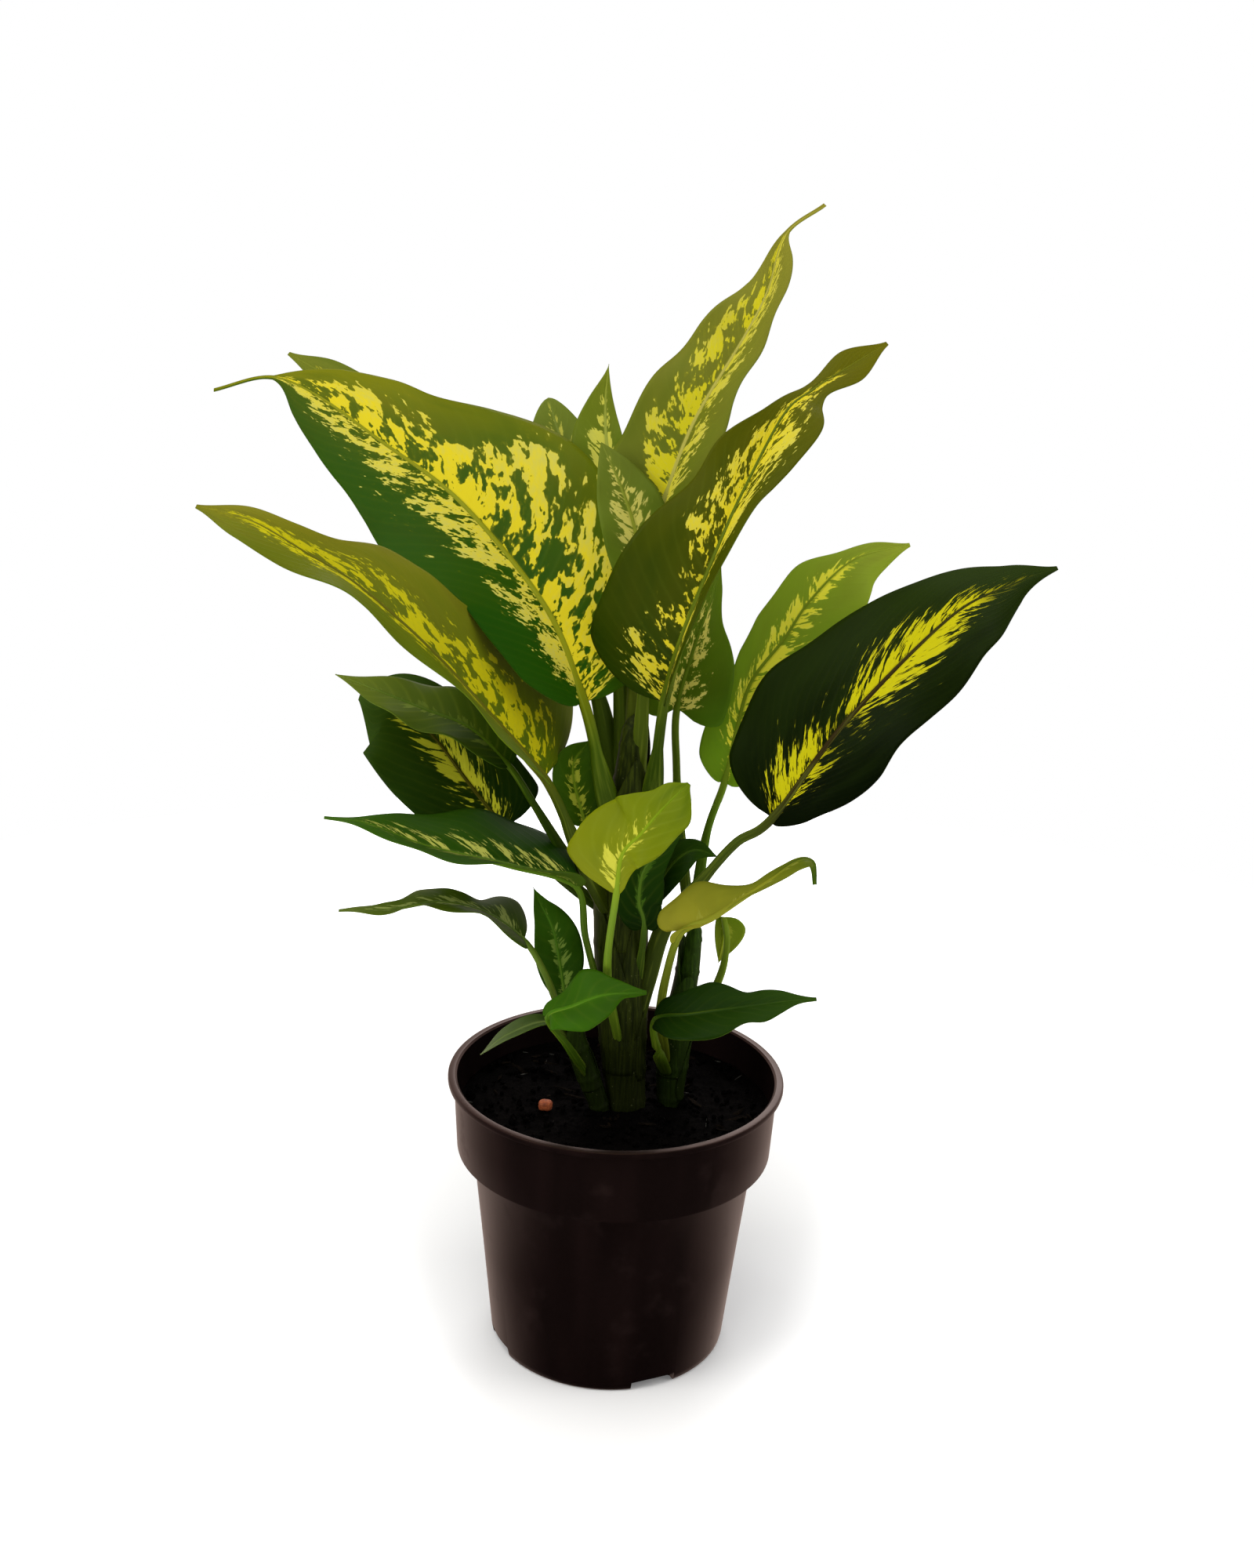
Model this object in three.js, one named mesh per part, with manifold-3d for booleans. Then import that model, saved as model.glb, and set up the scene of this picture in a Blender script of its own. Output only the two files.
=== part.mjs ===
// A potted dieffenbachia: a tall variegated foliage plant in a 17 cm brown nursery pot.
// Millimetres, +Z up. The origin is the middle of the pot's underside, on the pot's axis.
// The viewer who sees the plant as in its portrait stands on the -Y side, so +X is on the right.
import * as THREE from "three";
import { mergeVertices } from "three/addons/utils/BufferGeometryUtils.js";
import Module from "manifold-3d";

const wasm = await Module();
wasm.setup();

const plant = new THREE.Group();
const CLEARANCE = 0.3; // between any two solids that touch on the real plant

// ---------------------------------------------------------------- solids

function solidOf(geometry) {
  const bare = geometry.clone();
  bare.deleteAttribute("normal");
  bare.deleteAttribute("uv");
  const merged = mergeVertices(bare, 1e-4);
  return new wasm.Manifold(
    new wasm.Mesh({
      numProp: 3,
      vertProperties: new Float32Array(merged.attributes.position.array),
      triVerts: new Uint32Array(merged.index.array),
    }),
  );
}

// The solid's largest piece: a cut may leave an offcut on the far side of what it was cut by.
function largestPiece(solid) {
  return solid.decompose().reduce((a, b) => (a.volume() >= b.volume() ? a : b));
}

function addNode(name, solid, colour, roughness) {
  const mesh = solid.getMesh();
  const geometry = new THREE.BufferGeometry();
  geometry.setAttribute("position", new THREE.BufferAttribute(mesh.vertProperties, 3));
  geometry.setIndex(new THREE.BufferAttribute(mesh.triVerts, 1));
  geometry.computeVertexNormals();
  const material = new THREE.MeshStandardMaterial({ color: colour, roughness, metalness: 0 });
  const node = new THREE.Mesh(geometry, material);
  node.name = name;
  plant.add(node);
}

function points(list) {
  return list.map(([x, y, z]) => new THREE.Vector3(x, y, z));
}

// ---------------------------------------------------------------- nursery pot

const POT = {
  rimRadius: 85, // the lip's outer edge: a 17 cm pot
  height: 146.4,
  lipHeight: 3.2,
  collarTop: 82,
  collarBottom: 80,
  collarUnderside: 107, // height of the step below the collar
  bodyTop: 72,
  bodyFoot: 61,
  footRise: 4, // height of the rounded corner between the wall and the base
  baseRadius: 58.7,
  wall: 1.5,
  softEdge: 0.8, // the rounding of the lip and of the step below the collar
  segments: 48,
};
const NOTCH = { count: 4, width: 23.5, height: 5.5, firstAzimuth: 24, inner: 54, outer: 66 };

// Where a point at this radius stands, at an azimuth in degrees from the front (-Y) towards +X.
function around(radius, azimuth) {
  const angle = THREE.MathUtils.degToRad(azimuth);
  return new THREE.Vector3(radius * Math.sin(angle), -radius * Math.cos(angle), 0);
}

function turned(profile, segments) {
  const lathe = new THREE.LatheGeometry(
    profile.map(([radius, height]) => new THREE.Vector2(radius, height)),
    segments,
  );
  lathe.rotateX(Math.PI / 2); // the lathe turns about Y, and the pot stands on Z
  return solidOf(lathe);
}

function pot() {
  const p = POT;
  const lipFoot = p.height - p.lipHeight;
  const profile = [
    [0, 0],
    [p.baseRadius, 0],
    [p.baseRadius + 0.4 * p.footRise, 0.35 * p.footRise],
    [p.bodyFoot, p.footRise],
    [p.bodyTop, p.collarUnderside],
    [p.collarBottom - p.softEdge, p.collarUnderside],
    [p.collarBottom, p.collarUnderside + p.softEdge],
    [p.collarTop, lipFoot],
    [p.rimRadius - p.softEdge, lipFoot],
    [p.rimRadius, lipFoot + p.softEdge],
    [p.rimRadius, p.height - p.softEdge],
    [p.rimRadius - p.softEdge, p.height],
    [p.collarTop - p.wall, p.height],
    [p.collarBottom - p.wall, p.collarUnderside + p.wall],
    [p.bodyTop - p.wall, p.collarUnderside + p.wall],
    [p.bodyFoot - p.wall, p.footRise],
    [p.baseRadius - p.wall, p.wall],
    [0, p.wall],
  ];
  let body = turned(profile, p.segments);
  for (let i = 0; i < NOTCH.count; i++) {
    const azimuth = NOTCH.firstAzimuth + (360 / NOTCH.count) * i;
    const cutter = new THREE.BoxGeometry(NOTCH.width, NOTCH.outer - NOTCH.inner, 2 * NOTCH.height);
    const place = around((NOTCH.inner + NOTCH.outer) / 2, azimuth);
    cutter.rotateZ(THREE.MathUtils.degToRad(azimuth));
    cutter.translate(place.x, place.y, 0);
    body = body.subtract(solidOf(cutter));
  }
  addNode("nursery_pot", body, 0x2a2020, 0.5);
}

// ---------------------------------------------------------------- stems

// Each cane's middle line from the soil up, and its radii spread evenly along that line.
const STEMS = [
  {
    name: "stem_main",
    path: [[6, -2, 98], [6, -2, 124], [2, 0, 176], [0, 2, 226], [0, 3, 270], [1, 3, 302], [2, 4, 334]],
    radii: [8.5, 9, 11, 10.5, 9.5, 8, 5.5],
    colour: 0x3a4a1e,
  },
  {
    name: "stem_left",
    path: [[-5, -7, 98], [-6, -7, 124], [-12, -8, 143], [-20, -9, 164], [-26, -9, 184]],
    radii: [4, 4.5, 5, 4.5, 3.2],
    colour: 0x445a22,
  },
  {
    name: "stem_right",
    path: [[28, 4, 98], [28, 4, 124], [28.5, 6, 150], [31, 8, 175], [35, 10, 200], [37, 12, 225]],
    radii: [5.5, 6, 7.5, 6.5, 5, 3.5],
    colour: 0x55702c,
  },
];
const STEM_SIDES = 12;
const STEM_RINGS = 9;

// Which way a ring moves when its solid is grown: back at the first, on at the last, or not at all.
function endward(along) {
  if (along < 0.001) return -1;
  return along > 0.999 ? 1 : 0;
}

// A closed round cane whose radius follows its list of radii, grown all round by a clearance.
function cane({ path, radii }, grown) {
  const curve = new THREE.CatmullRomCurve3(points(path), false, "catmullrom", 0.5);
  const geometry = new THREE.CylinderGeometry(1, 1, 1, STEM_SIDES, STEM_RINGS);
  const position = geometry.attributes.position;
  const side = new THREE.Vector3();
  for (let i = 0; i < position.count; i++) {
    const along = position.getY(i) + 0.5;
    const centre = curve.getPointAt(along);
    const tangent = curve.getTangentAt(along);
    const right = new THREE.Vector3(1, 0, 0).addScaledVector(tangent, -tangent.x).normalize();
    const back = new THREE.Vector3().crossVectors(right, tangent);
    const spot = along * (radii.length - 1);
    const low = Math.min(Math.floor(spot), radii.length - 2);
    const radius = THREE.MathUtils.lerp(radii[low], radii[low + 1], spot - low) + grown;
    side.copy(right).multiplyScalar(position.getX(i)).addScaledVector(back, position.getZ(i));
    side.multiplyScalar(radius).add(centre).addScaledVector(tangent, endward(along) * grown);
    position.setXYZ(i, side.x, side.y, side.z);
  }
  return solidOf(geometry);
}

function stems() {
  const grown = [];
  for (const stem of STEMS) {
    let solid = cane(stem, 0);
    for (const other of grown) solid = solid.subtract(other);
    addNode(stem.name, largestPiece(solid), stem.colour, 0.5);
    grown.push(cane(stem, CLEARANCE));
  }
  return grown;
}

// ---------------------------------------------------------------- potting soil and a pellet on it

// The soil's height, how far it stands up at the stems, and how far it dips round them and at the wall.
const SOIL = { level: 129, crown: 1.5, dip: 1, dipRadius: 38, ringRadius: 60 };

function soil(grownStems) {
  const p = POT;
  const gap = p.wall + 1.5 * CLEARANCE; // the wall slants, so the gap across it is a little less
  const wallAt = (height) => {
    const rise = (height - p.collarUnderside) / (p.height - p.lipHeight - p.collarUnderside);
    return THREE.MathUtils.lerp(p.collarBottom, p.collarTop, rise) - gap;
  };
  const ledge = p.collarUnderside + gap;
  const profile = [
    [0, gap],
    [p.baseRadius - gap, gap],
    [p.bodyFoot - gap, p.footRise + CLEARANCE],
    [p.bodyTop - gap, ledge],
    [wallAt(ledge), ledge],
    [wallAt(SOIL.level), SOIL.level - SOIL.dip],
    [SOIL.ringRadius, SOIL.level],
    [SOIL.dipRadius, SOIL.level - SOIL.dip],
    [0, SOIL.level + SOIL.crown],
  ];
  let body = turned(profile, p.segments);
  for (const stem of grownStems) body = body.subtract(stem);
  addNode("potting_soil", largestPiece(body), 0x14110f, 0.95);
}

const PELLET = { radius: 3.5, length: 1.08, height: 0.9, place: [-35, -10, SOIL.level + 2.5] };

function pellet() {
  const grain = new THREE.SphereGeometry(PELLET.radius, 14, 10);
  grain.rotateX(Math.PI / 2);
  grain.scale(PELLET.length, 1, PELLET.height);
  grain.translate(...PELLET.place);
  addNode("fertiliser_pellet", solidOf(grain), 0xb2602c, 0.7);
}

// ---------------------------------------------------------------- leaves

// A leaf is one solid: its stalk, from the stem to the blade, and the blade to the tip.
//   rib        the line of the stalk and the midrib, from the stem to the leaf's tip
//   bladeFrom  the number of the rib point where the blade begins
//   stalk      the stalk's radius at the stem and where the blade begins
//   halfWidth  the blade's greatest width left and right of the midrib, seen from the stalk
//   widest     how far along the blade, left and right, it is that wide, from 0 to 1
//   blunt      how round the outline is at its base and its tip: lower is rounder
//   widths     each half's width at even steps from the base to the tip, in place of those three
//   face       the directions that the upper side looks in, from the base to the tip
//   fold       how far each half is folded up from flat, in degrees: left and right, base and tip
//   curl       how much further each half bends on its way to the margin, in degrees
//   wave       the margin's waves: their height, how many there are, and where they start
//   lobe       how far the base of each half reaches back past the stalk
//   tail       the share of the blade's length that is a thin drip tip
const LEAF_DEFAULTS = {
  stalk: [2.2, 1.4],
  widest: [0.42, 0.42],
  blunt: [0.6, 1.1],
  curl: [-10, -20],
  wave: [1, 3, 3],
  lobe: 3,
  tail: 0,
};
const LEAF_SIDES = 8;
const LEAF_RINGS = 21;
const STALK_RINGS = 5; // of the leaf's rings, those that are on its stalk
const MARGIN_SHIFT = 1.9; // the left margin's waves come this much of a turn later than the right's
const TAIL_HALF_WIDTH = 1.2;
const TIP_HALF_THICKNESS = 0.45;
const LEAST_HALF_WIDTH = 0.2;
const STALK_FADE = 0.05; // the share of the blade's length over which the stalk stops showing beside it
const THINNING = 0.3; // the share of the blade's length over which the stalk thins into the midrib
const BASE_ROUNDING = 0.1; // the share of the blade's length over which its base rounds off
const CURVE_SAMPLES = 400; // steps by which the length of a rib is measured
const LEAF_GROWTH = 3 * CLEARANCE; // a folded blade grows less than this straight out of its surface
const WIDENING = 1.05; // how many times as wide a grown blade is, as near its sharp margin it is very thin

// From 0 at a blade's base to 1 where the round of its base ends.
function baseRound(along) {
  const inner = 1 - Math.min(1, along / BASE_ROUNDING);
  return Math.sqrt(1 - inner * inner);
}

// How wide one half of a blade is, left (0) or right (1), a share of the way from its base to its tip.
function halfWidthAt(leaf, half, along) {
  if (leaf.widths) {
    const stops = leaf.widths[half].map((width, number) => new THREE.Vector2(number, width));
    return new THREE.SplineCurve(stops).getPoint(along).y * baseRound(along);
  }
  const warped = Math.pow(along, Math.log(0.5) / Math.log(leaf.widest[half]));
  const bluntness = THREE.MathUtils.lerp(leaf.blunt[0], leaf.blunt[1], along);
  return leaf.halfWidth[half] * Math.pow(Math.sin(Math.PI * Math.min(1, warped)), bluntness);
}

// A cylinder's quads are all split the same way round it, so its upper and its under side aren't. With
// half of them split the other way, the two sides of a wavy blade are parallel and never cross.
function splitAlike(geometry) {
  const index = geometry.index.array;
  for (let side = 0; side < LEAF_SIDES; side++) {
    if (side % (LEAF_SIDES / 2) < LEAF_SIDES / 4) continue;
    for (let ring = 0; ring < LEAF_RINGS; ring++) {
      const first = 6 * (side * LEAF_RINGS + ring);
      const [a, b, d, , c] = index.slice(first, first + 6);
      index.set([a, b, c, a, c, d], first);
    }
  }
}

function leafSolid(given, grown) {
  const leaf = { ...LEAF_DEFAULTS, ...given };
  const curve = new THREE.CatmullRomCurve3(points(leaf.rib), false, "catmullrom", 0.5);
  const lengths = curve.getLengths(CURVE_SAMPLES);
  const bladeSample = Math.round((CURVE_SAMPLES * leaf.bladeFrom) / (leaf.rib.length - 1));
  const bladeAt = lengths[bladeSample] / lengths[CURVE_SAMPLES];
  const faces = points(leaf.face);

  function frameAt(whole, blade) {
    const tangent = curve.getTangentAt(whole);
    const spot = Math.max(0, blade) * (faces.length - 1);
    const low = Math.min(Math.floor(spot), faces.length - 2);
    const up = faces[low].clone().lerp(faces[low + 1], spot - low);
    up.addScaledVector(tangent, -up.dot(tangent)).normalize();
    return { centre: curve.getPointAt(whole), tangent, up, right: tangent.clone().cross(up) };
  }

  // A point of the blade's middle surface. blade runs from its base to its tip, 0 to 1, and
  // across from the left margin to the right one, -1 to 1.
  function bladePlace(frame, blade, across) {
    const half = across < 0 ? 0 : 1;
    const reach = Math.abs(across);
    const body = Math.min(1, blade / (1 - leaf.tail));
    const tail = leaf.tail > 0 ? Math.min(1, (1 - blade) / leaf.tail) : 0;
    const stalk = leaf.stalk[1] * Math.max(0, 1 - blade / STALK_FADE);
    const shape = halfWidthAt(leaf, half, body);
    const own = Math.max(shape, TAIL_HALF_WIDTH * tail, stalk, LEAST_HALF_WIDTH);
    const width = grown > 0 ? own * WIDENING + grown : own;
    const fold = THREE.MathUtils.lerp(leaf.fold[half][0], leaf.fold[half][1], blade);
    const bend = THREE.MathUtils.degToRad(fold + (leaf.curl[half] * reach) / 2);
    const [height, count, start] = leaf.wave;
    const turn = 2 * Math.PI * count * body + start + (half === 0 ? MARGIN_SHIFT : 0);
    const wave = height * Math.sin(turn) * reach * reach * Math.sin(Math.PI * body);
    const side = (half === 0 ? -1 : 1) * reach * width * Math.cos(bend);
    const lift = reach * width * Math.sin(bend) + wave;
    const lobe = leaf.lobe * Math.pow(reach, 1.5) * baseRound(blade);
    const back = (lobe + grown) * Math.pow(1 - blade, 4);
    return frame.centre
      .clone()
      .addScaledVector(frame.right, side)
      .addScaledVector(frame.up, lift)
      .addScaledVector(frame.tangent, -back);
  }

  const geometry = new THREE.CylinderGeometry(1, 1, 1, LEAF_SIDES, LEAF_RINGS);
  splitAlike(geometry);
  const position = geometry.attributes.position;
  for (let i = 0; i < position.count; i++) {
    const ring = (position.getY(i) + 0.5) * LEAF_RINGS;
    const across = position.getX(i);
    const upDown = position.getZ(i);
    let place;
    if (ring < STALK_RINGS - 0.5) {
      const share = ring / STALK_RINGS;
      const frame = frameAt(bladeAt * share, 0);
      const radius = THREE.MathUtils.lerp(leaf.stalk[0], leaf.stalk[1], share) + grown;
      place = frame.centre
        .clone()
        .addScaledVector(frame.right, across * radius)
        .addScaledVector(frame.up, upDown * radius);
    } else {
      const even = (ring - STALK_RINGS) / (LEAF_RINGS - STALK_RINGS);
      const eased = (1 - Math.cos(Math.PI * even)) / 2;
      const blade = THREE.MathUtils.clamp((even + eased) / 2, 0, 1);
      const frame = frameAt(Math.min(1, THREE.MathUtils.lerp(bladeAt, 1, blade)), blade);
      const thinned = Math.sqrt(Math.min(1, blade / THINNING));
      const thickness = THREE.MathUtils.lerp(leaf.stalk[1], TIP_HALF_THICKNESS, thinned) + grown;
      const onAxis = Math.hypot(across, upDown) < 0.5;
      place = bladePlace(frame, blade, onAxis ? 0 : across);
      place.addScaledVector(frame.up, upDown * thickness);
    }
    const end = endward(ring / LEAF_RINGS);
    if (end !== 0) place.addScaledVector(curve.getTangentAt(end > 0 ? 1 : 0), end * grown);
    position.setXYZ(i, place.x, place.y, place.z);
  }
  return solidOf(geometry);
}

const LEAVES = {
  leaf_upper_left_broad: {
    rib: [
      [0, -2, 262], [-12, -8, 305], [-22, -4, 341], [-42, 14, 382], [-86, 44, 426],
      [-129, 66, 452], [-162, 80, 471], [-186, 86, 478], [-215, 92, 470],
    ],
    bladeFrom: 2,
    stalk: [3.2, 2.4],
    widths: [
      [20, 32, 38, 40, 45, 49, 43, 34, 26, 17, 1],
      [30, 48, 59, 62, 63, 61, 51, 37, 31, 20, 1],
    ],
    face: [[0.3, -0.8, 0.6], [0.1, -0.8, 0.6], [0.1, -0.8, 0.6]],
    fold: [[25, 5], [20, 0]],
    wave: [3.5, 3, 0],
    lobe: 6,
    tail: 0.12,
    colour: 0x6e7314,
  },
  leaf_left_long: {
    rib: [
      [-7, -6, 235], [-23, -14, 272], [-39, -18, 307], [-66, -26, 341], [-93, -38, 374],
      [-122, -50, 403], [-143, -58, 418], [-166, -62, 432], [-190, -60, 437],
    ],
    bladeFrom: 2,
    stalk: [3, 2],
    widths: [
      [20, 26, 26, 20, 18, 16, 14, 15, 17, 14, 1],
      [56, 62, 57, 46, 34, 33, 29, 15, 10, 7, 1],
    ],
    face: [[0.2, -0.5, 0.9], [0.1, -0.6, 0.7], [0.1, -0.7, 0.6]],
    fold: [[45, 20], [5, 5]],
    curl: [0, -20],
    wave: [2.5, 3, 0],
    lobe: 8,
    colour: 0x736a14,
  },
  leaf_top: {
    rib: [
      [2, 6, 285], [3, 6, 361], [7, 8, 413], [12, 10, 434], [25, 22, 471],
      [47, 34, 510], [57, 40, 531], [64, 46, 556], [82, 52, 570],
    ],
    bladeFrom: 3,
    stalk: [2.8, 2],
    widths: [
      [30, 33, 30, 28, 27, 24, 21, 17, 11, 5, 1],
      [18, 28, 32, 31, 26, 21, 19, 16, 16, 12, 1],
    ],
    face: [[-0.5, -0.8, 0.3], [-0.5, -0.8, 0.3]],
    fold: [[25, 20], [45, 35]],
    wave: [2.5, 3, 0],
    lobe: 4,
    tail: 0.13,
    colour: 0x7d7d2d,
  },
  leaf_centre_tall: {
    rib: [
      [9, -2, 262], [13, -8, 307], [16, -14, 345], [22, -26, 377], [38, -30, 425],
      [49, -24, 451], [64, -12, 480], [76, -4, 490], [92, 4, 500], [111, 14, 511],
    ],
    bladeFrom: 2,
    stalk: [3, 2.2],
    widths: [
      [36, 44, 43, 40, 34, 24, 20, 8, 4, 8, 1],
      [7, 8, 7, 7, 12, 15, 22, 24, 8, 9, 1],
    ],
    face: [[-0.3, -0.9, 0.3], [-0.2, -0.9, 0.3], [-0.2, -0.8, 0.6]],
    fold: [[5, 15], [68, 52, 0]],
    curl: [-10, -10],
    wave: [3, 3, 0],
    lobe: 6,
    colour: 0x555f0a,
  },
  leaf_right_dark: {
    rib: [
      [9, -4, 172], [14, -5, 200], [21, -8, 230], [38, -14, 257], [53, -20, 279],
      [69, -26, 294], [99, -36, 345], [141, -40, 396], [168, -38, 412], [188, -36, 420],
    ],
    bladeFrom: 5,
    stalk: [2.6, 2],
    widths: [
      [28, 36, 41, 43, 39, 36, 30, 23, 17, 9, 1],
      [6, 15, 25, 29, 27, 28, 28, 25, 21, 7, 1],
    ],
    face: [[-0.2, -0.8, 0.5], [-0.2, -0.7, 0.6]],
    fold: [[12, 5], [12, 5]],
    wave: [2.5, 3, 0],
    lobe: 8,
    colour: 0x142d05,
  },
  leaf_right_light: {
    rib: [
      [35, 12, 215], [40, 16, 268], [48, 20, 296], [53, 24, 323], [59, 28, 346],
      [74, 32, 367], [86, 36, 386], [106, 40, 406], [133, 42, 414],
    ],
    bladeFrom: 2,
    stalk: [2, 1.6],
    widths: [
      [10, 16, 15, 9, 14, 18, 16, 16, 8, 5, 1],
      [14, 24, 28, 30, 30, 29, 28, 27, 21, 11, 1],
    ],
    face: [[-0.3, -0.8, 0.4], [-0.2, -0.7, 0.6]],
    fold: [[20, 10], [20, 10]],
    wave: [2, 3, 0],
    lobe: 4,
    colour: 0x738c23,
  },
  leaf_behind_centre: {
    rib: [
      [35, 13, 219], [27, 18, 271], [24, 22, 304], [23, 26, 331], [30, 32, 360],
      [38, 38, 386], [41, 44, 406],
    ],
    bladeFrom: 3,
    stalk: [2, 1.6],
    widths: [
      [14, 19, 20, 19, 17, 13, 9, 5, 3, 2, 1],
      [22, 25, 26, 25, 22, 17, 10, 6, 4, 2, 1],
    ],
    face: [[-0.3, -0.8, 0.4], [-0.2, -0.7, 0.6]],
    fold: [[20, 10], [10, 10]],
    lobe: 12,
    colour: 0x506928,
  },
  leaf_mid_left_upper: {
    rib: [
      [-10, -2, 241], [-28, -8, 265], [-44, -8, 290], [-57, -6, 309], [-76, 0, 325],
      [-99, 6, 332], [-123, 12, 339], [-143, 16, 345],
    ],
    bladeFrom: 3,
    halfWidth: [16, 18],
    blunt: [0.6, 1.1],
    face: [[0.2, -0.5, 0.9], [0.1, -0.5, 0.9]],
    fold: [[20, 10], [20, 10]],
    wave: [1.5, 3, 0],
    colour: 0x3c550f,
  },
  leaf_mid_left_dark: {
    rib: [
      [-10, 6, 232], [-37, 8, 253], [-59, 10, 272], [-77, 14, 292], [-94, 18, 313],
      [-113, 24, 330], [-133, 28, 332],
    ],
    bladeFrom: 2,
    widths: [
      [18, 24, 29, 31, 33, 34, 34, 33, 31, 25, 3],
      [23, 26, 27, 27, 26, 25, 23, 20, 16, 10, 1],
    ],
    face: [[0.2, -0.9, 0.6], [0.1, -0.9, 0.6]],
    fold: [[10, 10], [20, 10]],
    wave: [1.5, 3, 0],
    lobe: 6,
    colour: 0x193205,
  },
  leaf_low_left: {
    rib: [
      [-7, -4, 183], [-17, -16, 225], [-23, -24, 256], [-54, -32, 268], [-92, -38, 278],
      [-119, -44, 290], [-139, -46, 293],
    ],
    bladeFrom: 2,
    widths: [
      [14, 19, 20, 20, 19, 18, 15, 11, 7, 3, 1],
      [14, 23, 30, 33, 33, 31, 25, 17, 9, 3, 1],
    ],
    face: [[0.1, -0.3, 1], [0.1, -0.3, 1]],
    fold: [[50, 0], [20, 10]],
    curl: [0, -20],
    wave: [1.5, 3, 0],
    lobe: 4,
    colour: 0x2d500f,
  },
  leaf_low_left_wavy: {
    rib: [
      [-22, -10, 172], [-30, -16, 190], [-37, -18, 208], [-47, -20, 225], [-65, -26, 241],
      [-87, -32, 248], [-109, -36, 245], [-134, -38, 244],
    ],
    bladeFrom: 3,
    stalk: [2, 1.3],
    widths: [
      [14, 18, 16, 10, 10, 6, 3, 4, 4, 2, 1],
      [20, 22, 18, 9, 7, 11, 13, 5, 4, 4, 1],
    ],
    face: [[0.1, -0.2, 1], [0.1, -0.2, 1]],
    fold: [[20, 10], [20, 10]],
    wave: [2, 3, 0],
    colour: 0x415519,
  },
  leaf_front_lime: {
    rib: [
      [1, -8, 165], [-6, -36, 216], [-3, -52, 263], [-1, -60, 285], [7, -65, 297],
      [14, -66, 307], [22, -62, 315], [28, -56, 319],
    ],
    bladeFrom: 2,
    stalk: [1.8, 1.4],
    widths: [
      [6, 19, 27, 25, 24, 23, 20, 15, 10, 7, 1],
      [2, 4, 6, 9, 12, 13, 13, 14, 14, 8, 1],
    ],
    face: [[-0.3, -0.9, 0.5], [-0.2, -0.8, 0.7], [0.1, -0.7, 0.8]],
    fold: [[5, 5], [5, 5]],
    curl: [-5, -20],
    wave: [2, 3, 0],
    lobe: 2,
    colour: 0xa0aa28,
  },
  leaf_small_centre_left: {
    rib: [[-10, 2, 238], [-15, 0, 259], [-20, -2, 280], [-25, -2, 298], [-26, 0, 310], [-19, 3, 320]],
    bladeFrom: 2,
    stalk: [1.8, 1.3],
    halfWidth: [13, 15],
    widest: [0.44, 0.44],
    blunt: [0.6, 0.9],
    face: [[0.1, -0.9, 0.4], [0.1, -0.9, 0.4]],
    fold: [[45, 30], [30, 25]],
    lobe: 2,
    colour: 0x466914,
  },
  leaf_low_right_pale: {
    rib: [
      [25, 1, 152], [21, -14, 182], [22, -30, 211], [28, -44, 242], [41, -50, 252],
      [56, -54, 265], [68, -54, 274], [79, -52, 282], [87, -48, 281], [89, -46, 269],
    ],
    bladeFrom: 3,
    stalk: [2.2, 1.6],
    widths: [
      [13, 12, 17, 17, 9, 4, 3, 2, 2, 1, 1],
      [2, 2, 2, 1, 1, 2, 3, 5, 5, 2, 1],
    ],
    face: [[-0.2, -0.6, 0.8], [-0.1, -0.5, 0.9]],
    fold: [[50, 10], [20, 10]],
    wave: [0.8, 3, 0],
    lobe: 16,
    colour: 0xa5a03c,
  },
  leaf_low_right_dark: {
    rib: [
      [26, 1, 146], [20, -20, 169], [18, -32, 191], [34, -44, 200], [56, -50, 207],
      [78, -52, 212], [93, -52, 214],
    ],
    bladeFrom: 2,
    widths: [
      [6, 9, 11, 14, 15, 12, 8, 8, 6, 3, 1],
      [6, 9, 14, 16, 16, 14, 10, 10, 6, 2, 1],
    ],
    face: [[-0.2, -0.6, 0.8], [-0.1, -0.5, 0.9]],
    fold: [[20, 10], [20, 10]],
    colour: 0x284b0a,
  },
  leaf_base_left_bright: {
    rib: [
      [-13, -8, 146], [-24, -26, 172], [-34, -36, 192], [-22, -44, 202], [-7, -50, 211],
      [13, -52, 214],
    ],
    bladeFrom: 2,
    stalk: [1.8, 1.3],
    widths: [
      [5, 6, 8, 11, 13, 15, 13, 9, 6, 3, 1],
      [8, 9, 10, 12, 14, 14, 13, 10, 3, 2, 1],
    ],
    face: [[0, -0.8, 0.8], [0, -0.8, 0.8]],
    fold: [[10, 5], [10, 5]],
    wave: [1, 2, 0],
    colour: 0x4b8c0f,
  },
  leaf_small_upright_left: {
    rib: [[-19, -8, 162], [-23, -6, 176], [-27, -5, 190], [-33, -6, 223], [-40, -5, 238], [-44, -3, 246]],
    bladeFrom: 2,
    stalk: [1.7, 1.2],
    halfWidth: [13, 13],
    widest: [0.4, 0.4],
    blunt: [0.6, 1.2],
    face: [[0.2, -0.9, 0.2], [0.2, -0.9, 0.2]],
    fold: [[30, 20], [10, 5]],
    lobe: 1,
    colour: 0x3c6e14,
  },
  leaf_small_hanging_right: {
    rib: [[36, 10, 165], [50, 18, 190], [54, 24, 208], [52, 30, 221], [53, 37, 210], [51, 39, 192]],
    bladeFrom: 3,
    stalk: [1.8, 1.2],
    halfWidth: [5, 11],
    widest: [0.37, 0.37],
    face: [[0, -0.1, 1], [0, 0.9, 0.3]],
    fold: [[10, 5], [10, 5]],
    wave: [0, 3, 0],
    lobe: 1,
    colour: 0x788c28,
  },
  leaf_small_dark_right: {
    rib: [[8, 2, 206], [14, 0, 240], [23, 2, 258], [34, 4, 266], [46, 4, 263]],
    bladeFrom: 1,
    stalk: [1.8, 1.3],
    halfWidth: [9, 9],
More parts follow.
